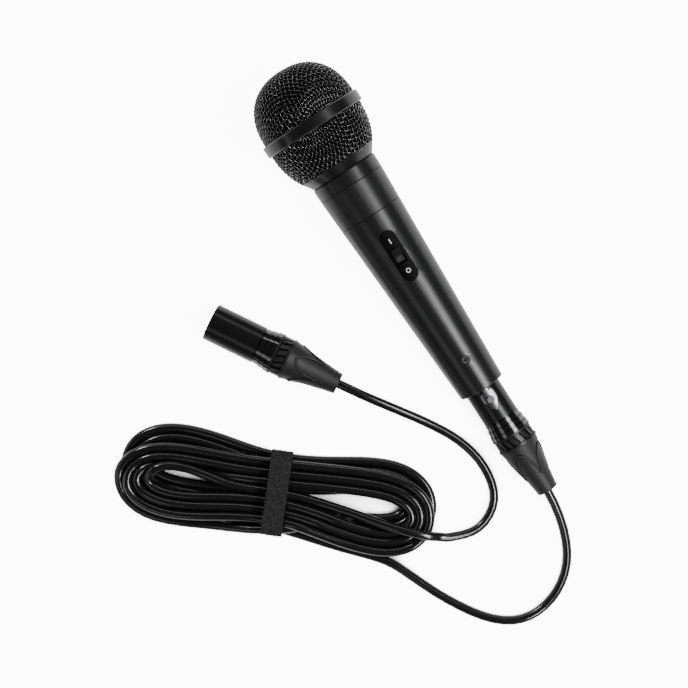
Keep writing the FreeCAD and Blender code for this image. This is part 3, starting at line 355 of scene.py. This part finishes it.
def add_piece(name, mesh, body, slot):
    """Puts a new mesh or curve into the scene, riding on a body and finished as a slot says."""
    piece = bpy.data.objects.new(name, mesh)
    bpy.context.scene.collection.objects.link(piece)
    mesh.materials.clear()
    mesh.materials.append(materials[slot])
    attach(piece, body)
    return piece


def mesh_from(name, vertices, faces, smooth=True):
    """A mesh whose faces all look outwards."""
    mesh = bpy.data.meshes.new(name)
    mesh.from_pydata([tuple(v) for v in vertices], [], faces)
    shape = bmesh.new()
    shape.from_mesh(mesh)
    bmesh.ops.recalc_face_normals(shape, faces=shape.faces)
    shape.to_mesh(mesh)
    shape.free()
    mesh.polygons.foreach_set("use_smooth", [smooth] * len(mesh.polygons))
    return mesh


# ---------------------------------------------------------------- cable

CABLE_DIAMETER = 0.0048
LYING = CABLE_DIAMETER / 2 + 0.00005
# Where the cable leaves each boot, where it comes free of it, and its way to the hank. The
# first and last stretch of the hank itself, way_in and way_out, are in the hank's own frame.
mic_cable_start = (-0.14344, 0.0, 0.008974)
mic_cable_free = (-0.162365, 0.0, 0.007284)
far_cable_start = (-0.043277, 0.064249, 0.011361)
far_cable_free = (-0.059556, 0.054468, 0.011943)
near_route = [
    (-0.1875, 0.0082, 0.0035), (-0.2006, 0.0232, 0.0026), (-0.2040, 0.0426, LYING),
    (-0.1952, 0.0586, LYING), (-0.1730, 0.0729, LYING), (-0.1480, 0.0832, LYING),
]
far_route = [
    (-0.0755, 0.0438, 0.0086), (-0.0920, 0.0326, 0.0046), (-0.1086, 0.0233, 0.0027),
    (-0.1266, 0.0195, LYING), (-0.1446, 0.0236, LYING), (-0.1529, 0.0393, 0.0030),
    (-0.1470, 0.0550, 0.0058),
]
way_in = [(0.0530, -0.0232, LYING), (0.0458, -0.0222, LYING), (0.0250, -0.0198, LYING)]
way_out = [
    (0.0060, -0.0016, 0.0119), (0.0210, -0.0035, 0.0122), (0.0390, -0.0060, 0.0124),
    (0.0565, -0.0086, 0.0118), (0.0683, -0.0100, 0.0100),
]

# The hank, in its own frame: X along its length, the tie across its middle.
HANK_CENTRE = (-0.0810, 0.1147, 0.0)
HANK_HEADING = -131.2
hank_frame = Matrix.Translation(HANK_CENTRE) @ Matrix.Rotation(math.radians(HANK_HEADING), 4, "Z")
TURNS = 8
RANKS = 4                     # turns nested in each of two layers
# Where each turn passes the tie: its offset to one side and to the other.
TIE_UP = (0.0168, 0.0120, 0.0072, 0.0024, 0.0132, 0.0090, 0.0046, 0.0004)
TIE_DOWN = (0.0168, 0.0120, 0.0072, 0.0024, 0.0176, 0.0132, 0.0088, 0.0044)
LAYER_HEIGHT = 0.0050
TIE_WIDTH = 0.0105
TIE_HALF_WINDOW = 0.0192
TIE_WINDOW_TOP = 0.0140
OPENING = 0.050               # the turns reach their full width this far from the tie
TURN_RISE = 0.0006            # each nested turn is laid a little above the one outside it
STEP = 0.0025                 # spacing of the worked-out line

# How the cable comes to rest, round by round.
ROUNDS = 160
FIXED_POINTS = 3              # at each end
SINK = 0.00008                # by its weight
HOLD = 0.02                   # how strongly the strands keep to where they were laid
STRIDES = (1, 2, 4, 2, 1)     # of the smoothing
EASE = 0.06                   # share of the smoothing that is done at once
LARGEST_EASE = 0.00012        # most that one smoothing moves a point
STRAND_SPACING = CABLE_DIAMETER * 1.02
NEIGHBOURS = 6                # points so near along the cable don't push each other
TIGHTEST_BEND = 0.0055
TIED_REACH = TIE_WIDTH * 0.6  # the tie holds the strands this far from its middle

# Left and right lobe of each turn: middle, half width and reach, from the table upwards.
LEFT_LOBES = [
    (0.0046, 0.0178, 0.0786), (0.0047, 0.0136, 0.0742), (0.0046, 0.0096, 0.0698),
    (0.0044, 0.0066, 0.0656), (-0.0036, 0.0168, 0.0804), (-0.0032, 0.0126, 0.0760),
    (-0.0020, 0.0088, 0.0716), (0.0000, 0.0064, 0.0672),
]
RIGHT_LOBES = [
    (0.0004, 0.0194, 0.0792), (0.0008, 0.0152, 0.0748), (0.0008, 0.0112, 0.0704),
    (0.0006, 0.0074, 0.0662), (-0.0024, 0.0178, 0.0786), (-0.0030, 0.0136, 0.0742),
    (-0.0040, 0.0096, 0.0698),
]


def half_turn(side, lobe, edge_out, edge_back):
    """Half a turn: out from the tie at one offset, round the end of the hank, and back."""
    middle, half_width, reach = lobe
    straight = reach - half_width
    legs = []
    for leg, at_tie in ((side, edge_out), (-side, edge_back)):
        points = []
        for x in np.arange(0, straight, STEP):
            share = min(x / OPENING, 1.0)
            share = share * share * (3 - 2 * share)
            spread = abs(at_tie) + share * (half_width - abs(at_tie))
            points.append((side * x, leg * spread + share * middle))
        legs.append(points)
    arc = int(math.pi * half_width / STEP)
    end = [(side * (straight + half_width * math.sin(math.pi * i / arc)),
            middle + side * half_width * math.cos(math.pi * i / arc)) for i in range(arc + 1)]
    return legs[0] + end + legs[1][::-1]


def hank_line():
    """The coiled stretch before it settles: eight left ends and seven right ones."""
    line = []
    for turn in range(TURNS):
        low = CABLE_DIAMETER / 2 + LAYER_HEIGHT * (turn // RANKS)
        high = CABLE_DIAMETER / 2 + LAYER_HEIGHT * ((turn + 1) // RANKS)
        rise = TURN_RISE * (turn % RANKS)
        left = half_turn(-1, LEFT_LOBES[turn], TIE_DOWN[turn], TIE_UP[turn])
        line += [(x, y, low + rise) for x, y in left]
        if turn < TURNS - 1:
            right = half_turn(1, RIGHT_LOBES[turn], TIE_UP[turn], TIE_DOWN[turn + 1])
            for i, (x, y) in enumerate(right):
                share = max(4 * i / len(right) - 3, 0)      # it climbs in the last quarter
                line.append((x, y, low + share * (high - low) + rise))
    return np.array(line)


def even_spacing(line, step):
    """The same line with its points a step apart."""
    lengths = np.linalg.norm(np.diff(line, axis=0), axis=1)
    along = np.concatenate([[0], np.cumsum(lengths)])
    places = np.linspace(0, along[-1], int(along[-1] / step) + 1)
    return np.stack([np.interp(places, along, line[:, k]) for k in range(3)], axis=1)


def push_apart(line, apart, skip):
    """Moves points of different strands away from each other until they are a diameter apart."""
    gap = line[:, None, :] - line[None, :, :]
    distance = np.linalg.norm(gap, axis=2)
    order = np.abs(np.arange(len(line))[:, None] - np.arange(len(line))[None, :])
    near = (distance < apart) & (order > skip)
    weight = np.where(near, (apart - distance) / np.maximum(distance, 1e-5), 0)
    moved = np.einsum("ij,ijk->ik", weight, gap)
    count = np.maximum(near.sum(axis=1), 1)
    return line + 0.5 * moved / count[:, None]


def ease_bends(line, stride):
    """Evens out how sharply the cable bends, without straightening its steady curves."""
    bend = np.zeros_like(line)
    bend[stride:-stride] = line[:-2 * stride] - 2 * line[stride:-stride] + line[2 * stride:]
    change = np.zeros_like(line)
    inner = slice(2 * stride, -2 * stride)
    change[inner] = bend[stride:-3 * stride] - 2 * bend[inner] + bend[3 * stride:-stride]
    size = np.linalg.norm(change, axis=1, keepdims=True)
    return line - change * np.minimum(EASE, LARGEST_EASE / np.maximum(size, 1e-9))


def open_kinks(line, radius):
    """Flattens the cable a little wherever it bends more tightly than the radius."""
    back, ahead = line[1:-1] - line[:-2], line[2:] - line[1:-1]
    across = np.linalg.norm(np.cross(back, ahead), axis=1)
    turn = np.arctan2(across, (back * ahead).sum(axis=1))
    reach = (np.linalg.norm(back, axis=1) + np.linalg.norm(ahead, axis=1)) / 2
    share = np.clip(turn * radius / np.maximum(reach, 1e-6) - 1, 0, 1)[:, None]
    line[1:-1] += share * (ahead - back) / 4
    return line


def keep_lengths(line, step):
    """Brings neighbouring points back to their distance, every other pair at a time."""
    for parity in (0, 1, 0, 1):
        b = line[parity + 1::2]
        a = line[parity:-1:2][:len(b)]
        d = b - a
        length = np.linalg.norm(d, axis=1)
        share = 0.5 * (1 - step[parity::2][:len(b)] / np.maximum(length, 1e-6))
        a += share[:, None] * d
        b -= share[:, None] * d
    return line


def settle(line):
    """Lets the coiled cable come to rest: strands apart, on the table and inside the tie."""
    step = np.linalg.norm(np.diff(line, axis=0), axis=1)
    rest_start, rest_end = line[:FIXED_POINTS].copy(), line[-FIXED_POINTS:].copy()
    laid = line[:, :2].copy()
    for _ in range(ROUNDS):
        line[:, 2] -= SINK
        line[:, :2] += HOLD * (laid - line[:, :2])
        for stride in STRIDES:
            line = ease_bends(line, stride)
        line = push_apart(line, STRAND_SPACING, NEIGHBOURS)
        line = keep_lengths(line, step)
        line = open_kinks(line, TIGHTEST_BEND)
        tied = np.abs(line[:, 0]) < TIED_REACH
        line[tied, 1] = np.clip(line[tied, 1], -TIE_HALF_WINDOW, TIE_HALF_WINDOW)
        line[tied, 2] = np.minimum(line[tied, 2], TIE_WINDOW_TOP - CABLE_DIAMETER / 2)
        line[:, 2] = np.maximum(line[:, 2], CABLE_DIAMETER / 2)
        line[:FIXED_POINTS], line[-FIXED_POINTS:] = rest_start, rest_end
    return line


def to_hank(points):
    """Points of the model's frame in the hank's own."""
    back = hank_frame.inverted()
    return [tuple(back @ Vector(point)) for point in points]


def cable_points():
    """The whole centre line in the model's frame, from one boot to the other."""
    near = to_hank(near_route)
    far = to_hank(far_route)
    laid = [near[-1]] + way_in + hank_line().tolist() + way_out + [far[-1]]
    line = settle(even_spacing(np.array(laid), STEP))
    coiled = [tuple(hank_frame @ Vector(p)) for p in line[::2]]
    start = [mic_cable_start, mic_cable_free] + near_route[:-1]
    end = far_route[:-1][::-1] + [far_cable_free, far_cable_start]
    return start + coiled + end


def make_cable():
    """The whole cable as one round curve."""
    points = cable_points()
    curve = bpy.data.curves.new("cable", "CURVE")
    curve.dimensions = "3D"
    spline = curve.splines.new("NURBS")
    spline.points.add(len(points) - 1)
    for target, place in zip(spline.points, points):
        target.co = (*place, 1)
    spline.order_u = 3
    spline.use_endpoint_u = True
    spline.resolution_u = 4
    curve.bevel_depth = CABLE_DIAMETER / 2
    curve.bevel_resolution = 5
    curve.use_fill_caps = True
    cable = add_piece("cable", curve, "cable", "cable_jacket")
    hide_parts("cable_from_mic", "cable_hank", "cable_to_far_plug")


# ---------------------------------------------------------------- tie

TIE_LENGTH = 0.0424
TIE_HEIGHT = 0.0158
TIE_CORNER = 0.0050
TIE_WALL = 0.0017
CORNER_POINTS = 8
TIE_SPACING = 0.00035         # of its points round the loop
TIE_ROWS = 30                 # across its width
FUZZ_ALONG = 0.00006          # how unevenly its points lie, along the hank and across it
FUZZ_ACROSS = 0.00013
LOWEST_FUZZ = 0.0002
FIBRES = 9000
FIBRE_LENGTHS = (0.0003, 0.0010)
FIBRE_HALF_WIDTH = 0.00005


def strap_loop(length, height, corner):
    """A rounded oblong seen along the hank, its foot on the table."""
    points = []
    for k, (sy, sz) in enumerate(((1, 1), (-1, 1), (-1, -1), (1, -1))):
        for i in range(CORNER_POINTS):
            angle = math.radians(90) * (k + i / (CORNER_POINTS - 1))
            points.append((sy * (length / 2 - corner) + corner * math.cos(angle),
                           height / 2 + sz * (height / 2 - corner) + corner * math.sin(angle)))
    return points


def even_loop(points, step=None, count=None):
    """A closed outline with its points spread evenly, a step apart or so many of them."""
    line = np.array(points + points[:1])
    lengths = np.linalg.norm(np.diff(line, axis=0), axis=1)
    along = np.concatenate([[0], np.cumsum(lengths)])
    count = count or int(along[-1] / step)
    places = np.linspace(0, along[-1], count, endpoint=False)
    return [(np.interp(p, along, line[:, 0]), np.interp(p, along, line[:, 1])) for p in places]


def add_fibres(vertices, faces, outside, chance):
    """Loose fibres that stand out of the strap's outer side, one thin triangle each."""
    middle = sum(vertices[:outside], Vector()) / outside
    for _ in range(FIBRES):
        root = vertices[int(chance.integers(outside))]
        out = (root - middle).normalized()
        lean = Vector(chance.normal(0, 1, 3))
        tip = root + (out * 0.9 + lean * 0.6).normalized() * chance.uniform(*FIBRE_LENGTHS)
        side = lean.cross(out).normalized() * FIBRE_HALF_WIDTH
        if tip.z > LOWEST_FUZZ:
            first = len(vertices)
            vertices += [root - side, root + side, tip]
            faces.append((first, first + 1, first + 2))


def strap_faces(n, rows):
    """Faces of the strap: its outer and inner side, each of rows loops of n points, and edges."""
    faces = []
    for layer in (0, 1):
        for i in range(rows - 1):
            for j in range(n):
                a = (layer * rows + i) * n + j
                b = (layer * rows + i) * n + (j + 1) % n
                faces.append((a, b, b + n, a + n))
    for i in (0, rows - 1):
        for j in range(n):
            a, b = i * n + j, i * n + (j + 1) % n
            faces.append((a, b, b + rows * n, a + rows * n))
    return faces


def make_tie():
    """A closed strap round the hank, a little uneven and covered in fibres."""
    outer = even_loop(strap_loop(TIE_LENGTH, TIE_HEIGHT, TIE_CORNER), step=TIE_SPACING)
    inner = even_loop(strap_loop(TIE_LENGTH - 2 * TIE_WALL, TIE_HEIGHT - 2 * TIE_WALL,
                                 TIE_CORNER - TIE_WALL), count=len(outer))
    inner = [(y, z + TIE_WALL) for y, z in inner]
    chance = np.random.default_rng(7)
    vertices = []
    for ring, sign in ((outer, 1), (inner, -1)):
        for i in range(TIE_ROWS + 1):
            x = -TIE_WIDTH / 2 + TIE_WIDTH * i / TIE_ROWS
            for y, z in ring:
                along = chance.normal(0, FUZZ_ALONG)
                aside, up = chance.normal(0, FUZZ_ACROSS, 2)
                place = Vector((x, y, max(z + up * sign, LOWEST_FUZZ)))
                vertices.append(hank_frame @ (place + Vector((along, aside, 0))))
    faces = strap_faces(len(outer), TIE_ROWS + 1)
    add_fibres(vertices, faces, len(outer) * (TIE_ROWS + 1), chance)
    tie = add_piece("tie", mesh_from("tie", vertices, faces), "cable", "tie_fabric")
    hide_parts("cable_tie")


# ---------------------------------------------------------------- woven grilles

WIRE_RADIUS = 0.00034
MESH_PITCH = 0.0023
HEAD_RADIUS = 0.0259
DOME_DEPTH = 0.0275
DOME_POWER = 2.3
BAND_END = 0.0334
BOWL_END = 0.0530
BOWL_DEPTH = 0.0308
BOWL_POWERS = (2.0, 2.21)
WEAVE_TURN = 62               # degrees, how the two nets are turned on the axis
BOWL_TURN = 40
BAND_TUCK = 0.0012            # how far the wires run on under the band and into the collar
COLLAR_TUCK = 0.0010
NET_COUNT = 24                # most knots from the pole of a net to its edge
WIRE_SIDES = 6
WIRE_STEPS = 4


def dome_surface(radius, depth, powers):
    """A measure of how far a point lies outside a bowl, its pole at x = 0, its rim at depth."""
    across, along = powers

    def outside(point):
        x, y, z = point
        rise = max((depth - x) / depth, 0.0)
        return (math.hypot(y, z) / radius) ** across + rise ** along - 1

    return outside


def slope_of(outside, point):
    """Which way, and how steeply, a surface's measure grows at a point."""
    e = 1e-6
    return np.array([(outside(point + e * axis) - outside(point - e * axis)) / (2 * e)
                     for axis in np.eye(3)])


def next_knot(outside, first, second, opposite, pitch):
    """The knot of a net that is a pitch away from two others, on the surface."""
    point = first + second - opposite
    for _ in range(12):
        a, b = point - first, point - second
        wrong = np.array([a @ a - pitch ** 2, b @ b - pitch ** 2, outside(point) * 1e-4])
        slopes = np.stack([2 * a, 2 * b, slope_of(outside, point) * 1e-4])
        try:
            change = np.linalg.solve(slopes, wrong)
        except np.linalg.LinAlgError:
            return None
        point = point - np.clip(change, -pitch / 2, pitch / 2)
    good = abs(np.linalg.norm(point - first) - pitch) < 0.02 * pitch
    return point if good and np.linalg.norm(point - opposite) > 0.5 * pitch else None


def net_quarter(outside, pitch, count):
    """Knots of a square net laid on the surface, over one quarter of it."""
    knots = {(0, 0): np.array((0.0, 0.0, 0.0))}
    for i in range(1, count):
        last = knots[(i - 1, 0)]
        earlier = knots[(i - 2, 0)] if i > 1 else last - np.array((0.0, pitch, 0.0))
        point = 2 * last - earlier
        for _ in range(20):
            slope = slope_of(outside, point)
            point = point - slope * outside(point) / (slope @ slope)
            away = point - last
            point = last + away * pitch / np.linalg.norm(away)
        knots[(i, 0)] = point
        knots[(0, i)] = np.array((point[0], -point[2], point[1]))
    for i in range(1, count):
        for j in range(1, count):
            around = [knots.get(key) for key in ((i - 1, j), (i, j - 1), (i - 1, j - 1))]
            if all(k is not None for k in around):
                point = next_knot(outside, *around, pitch)
                if point is not None:
                    knots[(i, j)] = point
    return knots


def whole_net(outside, pitch, count):
    """The net over the whole surface: its quarter turned four times."""
    quarter = net_quarter(outside, pitch, count)
    knots = {}
    for (i, j), (x, y, z) in quarter.items():
        knots[(i, j)] = (x, y, z)
        knots[(-j, i)] = (x, -z, y)
        knots[(-i, -j)] = (x, -y, -z)
        knots[(j, -i)] = (x, z, -y)
    return knots


def wire_lines(knots, direction, keep):
    """Lines of one family of wires, each knot raised or sunk in turn.

    They end where the kept part of the net does.
    """
    lines = {}
    for (i, j), place in knots.items():
        row, along = (j, i) if direction == 0 else (i, j)
        over = 1 if (i + j + direction) % 2 else -1
        lines.setdefault(row, []).append((along, np.array(place), over))
    found = []
    for row in sorted(lines):
        run = []
        for along, place, over in sorted(lines[row], key=lambda item: item[0]):
            if keep(place) and (not run or along == run[-1][0] + 1):
                run.append((along, place, over))
                continue
            if len(run) > 1:
                found.append(run)
            run = [(along, place, over)] if keep(place) else []
        if len(run) > 1:
            found.append(run)
    return found


def wire_mesh(name, outside, pitch, keep, place, turn):
    """The centre lines of a woven net as loose edges, each knot lifted over or sunk under."""
    knots = whole_net(outside, pitch, NET_COUNT)
    spin = Matrix.Rotation(math.radians(turn), 4, "X")
    vertices, edges = [], []
    for direction in (0, 1):
        for run in wire_lines(knots, direction, keep):
            first = len(vertices)
            for _, point, over in run:
                normal = slope_of(outside, point)
                normal = normal / np.linalg.norm(normal)
                vertices.append(place @ spin @ Vector(point + normal * WIRE_RADIUS * over))
            edges += [(first + k, first + k + 1) for k in range(len(run) - 1)]
    mesh = bpy.data.meshes.new(name)
    mesh.from_pydata(vertices, edges, [])
    return mesh


def wire_tree():
    """A node tree that turns loose edges into round wires."""
    tree = bpy.data.node_groups.new("round_wires", "GeometryNodeTree")
    for name, kind in (("Geometry", "Geometry"), ("Radius", "Float"), ("Sides", "Int"),
                       ("Steps", "Int"), ("Finish", "Material")):
        tree.interface.new_socket(name, in_out="INPUT", socket_type="NodeSocket" + kind)
    tree.interface.new_socket("Geometry", in_out="OUTPUT", socket_type="NodeSocketGeometry")
    given = add_node(tree, "NodeGroupInput")
    made = add_node(tree, "NodeGroupOutput")
    lines = add_node(tree, "GeometryNodeMeshToCurve")
    kind = add_node(tree, "GeometryNodeCurveSplineType")
    kind.spline_type = "CATMULL_ROM"
    steps = add_node(tree, "GeometryNodeSetSplineResolution")
    ring = add_node(tree, "GeometryNodeCurvePrimitiveCircle")
    tube = add_node(tree, "GeometryNodeCurveToMesh", {"Fill Caps": True})
    smooth = add_node(tree, "GeometryNodeSetShadeSmooth")
    real = add_node(tree, "GeometryNodeRealizeInstances")
    paint = add_node(tree, "GeometryNodeSetMaterial")
    link = tree.links.new
    link(given.outputs["Geometry"], lines.inputs["Mesh"])
    link(lines.outputs["Curve"], kind.inputs["Curve"])
    link(kind.outputs["Curve"], steps.inputs["Geometry"])
    link(given.outputs["Steps"], steps.inputs["Resolution"])
    link(given.outputs["Radius"], ring.inputs["Radius"])
    link(given.outputs["Sides"], ring.inputs["Resolution"])
    link(steps.outputs["Geometry"], tube.inputs["Curve"])
    link(ring.outputs["Curve"], tube.inputs["Profile Curve"])
    link(tube.outputs["Mesh"], smooth.inputs["Geometry"])
    link(smooth.outputs["Geometry"], real.inputs["Geometry"])
    link(real.outputs["Geometry"], paint.inputs["Geometry"])
    link(given.outputs["Finish"], paint.inputs["Material"])
    link(paint.outputs["Geometry"], made.inputs["Geometry"])
    return tree


def bake_wires(name, lines, tree, radius, sides, steps, finish):
    """Runs the node tree on loose edges and keeps the mesh that it makes."""
    source = bpy.data.objects.new(name + "_lines", lines)
    bpy.context.scene.collection.objects.link(source)
    modifier = source.modifiers.new("wires", "NODES")
    modifier.node_group = tree
    values = {"Radius": radius, "Sides": sides, "Steps": steps, "Finish": finish}
    for socket in tree.interface.items_tree:
        if socket.in_out == "INPUT" and socket.name in values:
            modifier[socket.identifier] = values[socket.name]
    graph = bpy.context.evaluated_depsgraph_get()
    graph.update()
    mesh = bpy.data.meshes.new_from_object(source.evaluated_get(graph))
    mesh.name = name
    bpy.data.objects.remove(source)
    return mesh


def woven_grille(name, outside, keep, place, turn, tree):
    """A net of round wire over a bowl, as far as it is kept; it rides on the head."""
    lines = wire_mesh(name + "_net", outside, MESH_PITCH, keep, place, turn)
    mesh = bake_wires(name, lines, tree, WIRE_RADIUS, WIRE_SIDES, WIRE_STEPS,
                      materials["grille_steel"])
    return add_piece(name, mesh, "head", "grille_steel")


def make_grilles(tree):
    """The dome above the head's band and the bowl below it."""
    radius = HEAD_RADIUS - 2 * WIRE_RADIUS
    dome = dome_surface(radius, DOME_DEPTH - 2 * WIRE_RADIUS, (DOME_POWER, DOME_POWER))
    tip = head_end_frame @ Matrix.Translation((-2 * WIRE_RADIUS, 0, 0))
    tip = tip @ Matrix.Scale(-1, 4, (1, 0, 0))
    upper = woven_grille("woven_upper_grille", dome, lambda p: p[0] < DOME_DEPTH + BAND_TUCK,
                         tip, WEAVE_TURN, tree)
    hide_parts("upper_grille")
    bowl = dome_surface(radius, BOWL_DEPTH, BOWL_POWERS)
    foot = head_end_frame @ Matrix.Translation((-(BAND_END + BOWL_DEPTH), 0, 0))
    low = BOWL_DEPTH - (BOWL_END - BAND_END) - COLLAR_TUCK
    lower = woven_grille("woven_lower_grille", bowl, lambda p: low < p[0] < BOWL_DEPTH + BAND_TUCK,
                         foot, BOWL_TURN, tree)
    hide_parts("lower_grille")


# ---------------------------------------------------------------- raised arches on the boots

ARCHES = 4                    # round each boot
ARCH_RADIUS = 0.00050         # of the raised line
ARCH_RISE = 0.1               # share of that radius by which its middle stands off the boot
ARCH_SIDES, ARCH_STEPS = 8, 2
ARCH_POINTS = 41
ARCH_TOP, ARCH_REACH = 0.14, 0.50   # shares of the boot's length
ARCH_POWER = 1.9              # how square the round end is
ARCH_SPREAD, ARCH_FLARE = 30, 12    # degrees to each side, and how much more at the open end
RAY_START = 0.03              # off the axis, outside every boot

# The arches of each boot: their name, the boot, its frame and how far they are turned on it.
BOOTS = [
    ("mic_plug_arches", "mic_plug_boot", mic_frame, 62),
    ("far_plug_arches", "far_plug_boot", far_frame, 100),
]


def surface_point(tree, place, along, angle):
    """Where a line towards the axis meets a node's surface."""
    side = Vector((0, math.cos(angle), math.sin(angle)))
    start = place @ (Vector((along, 0, 0)) + side * RAY_START)
    inwards = (place.to_3x3() @ -side).normalized()
    found = tree.ray_cast(start, inwards)[0]
    return None if found is None else found - inwards * ARCH_RADIUS * ARCH_RISE


def arch_lines(node, place, turn):
    """U-shaped lines on a boot, round towards its thick end and opening towards the cable."""
    mesh = frame["nodes"][node].data
    tree = BVHTree.FromPolygons([v.co for v in mesh.vertices], [p.vertices for p in mesh.polygons])
    low, high = span(node, place)
    top, reach = high - ARCH_TOP * (high - low), ARCH_REACH * (high - low)
    vertices, edges = [], []
    for k in range(ARCHES):
        first = len(vertices)
        for t in np.linspace(-1, 1, ARCH_POINTS):
            along = top - reach * abs(t) ** ARCH_POWER
            spread = ARCH_SPREAD * math.sin(math.pi / 2 * t) + ARCH_FLARE * t * abs(t)
            angle = math.radians(turn + 360 * k / ARCHES + spread)
            point = surface_point(tree, place, along, angle)
            if point is not None:
                vertices.append(point)
        edges += [(j, j + 1) for j in range(first, len(vertices) - 1)]
    lines = bpy.data.meshes.new(node + "_arches")
    lines.from_pydata(vertices, edges, [])
    return lines


def make_arches(tree):
    """Raised lines on both boots, to grip them by."""
    for name, boot, place, turn in BOOTS:
        mesh = bake_wires(name, arch_lines(boot, place, turn), tree, ARCH_RADIUS, ARCH_SIDES,
                          ARCH_STEPS, materials["black_rubber"])
        add_piece(name, mesh, "cable", "black_rubber")


# ---------------------------------------------------------------- switch

SCREEN_HALF = 0.0031          # half the width of the screen under the knob
SCREEN_PAST_TAIL, SCREEN_PAST_HEAD = 0.0046, 0.0042     # how far it runs past the knob
SCREEN_BELOW, SCREEN_ABOVE = 0.00020, 0.00010           # the bezel's underside
ON_PAST_HEAD, OFF_PAST_TAIL = 0.0043, 0.0085            # from the knob to the marks
BAR_HALF_LENGTH, BAR_HALF_WIDTH = 0.0013, 0.00026
RING_RADIUS, RING_WIDTH, RING_POINTS = 0.0012, 0.0004, 40
PRINT_ABOVE, PRINT_BELOW = 0.00004, 0.0001              # the bezel's top

def block(name, place, low, high):
    """A box between two corners of a frame."""
    corners = [Vector((x, y, z)) for x in (low[0], high[0]) for y in (low[1], high[1])
               for z in (low[2], high[2])]
    faces = [(0, 1, 3, 2), (4, 6, 7, 5), (0, 4, 5, 1), (2, 3, 7, 6), (0, 2, 6, 4), (1, 5, 7, 3)]
    return mesh_from(name, [place @ corner for corner in corners], faces, smooth=False)


def ring_mark(name, place, centre, radius, width, height):
    """A flat ring printed on a surface."""
    vertices, faces = [], []
    for i in range(RING_POINTS):
        angle = 2 * math.pi * i / RING_POINTS
        for r in (radius, radius - width):
            vertices.append(place @ Vector((centre[0] + r * math.cos(angle),
                                            centre[1] + r * math.sin(angle), height)))
    for i in range(RING_POINTS):
        a, b = 2 * i, 2 * ((i + 1) % RING_POINTS)
        faces.append((a, b, b + 1, a + 1))
    return mesh_from(name, vertices, faces, smooth=False)


def add_print(name, mesh):
    """Puts a printed mark on the handle; no slot of the record is for print, so it has none."""
    piece = bpy.data.objects.new(name, mesh)
    bpy.context.scene.collection.objects.link(piece)
    mesh.materials.append(materials["white_print"])
    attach(piece, "handle")


def make_switch_details():
    """The slider's dust screen and the on and off marks."""
    back = switch_frame.inverted()
    knob = [back @ v.co for v in frame["nodes"]["switch_knob"].data.vertices]
    bezel = [back @ v.co for v in frame["nodes"]["switch_bezel"].data.vertices]
    head_side, tail_side = max(v.x for v in knob), min(v.x for v in knob)
    top, under = max(v.z for v in bezel), min(v.z for v in bezel)
    screen = block("switch_dust_screen", switch_frame,
                   (tail_side - SCREEN_PAST_TAIL, -SCREEN_HALF, under - SCREEN_BELOW),
                   (head_side + SCREEN_PAST_HEAD, SCREEN_HALF, under + SCREEN_ABOVE))
    add_piece("switch_dust_screen", screen, "switch_slider", "black_plastic")
    on, off = head_side + ON_PAST_HEAD, tail_side - OFF_PAST_TAIL
    bar = block("switch_mark_on", switch_frame,
                (on - BAR_HALF_LENGTH, -BAR_HALF_WIDTH, top - PRINT_BELOW),
                (on + BAR_HALF_LENGTH, BAR_HALF_WIDTH, top + PRINT_ABOVE))
    add_print("switch_mark_on", bar)
    ring = ring_mark("switch_mark_off", switch_frame, (off, 0), RING_RADIUS, RING_WIDTH,
                     top + PRINT_ABOVE)
    add_print("switch_mark_off", ring)


# ---------------------------------------------------------------- build

finish_nodes()
make_camera()
make_studio()
make_cable()
make_tie()
wires = wire_tree()
make_grilles(wires)
make_arches(wires)
make_switch_details()
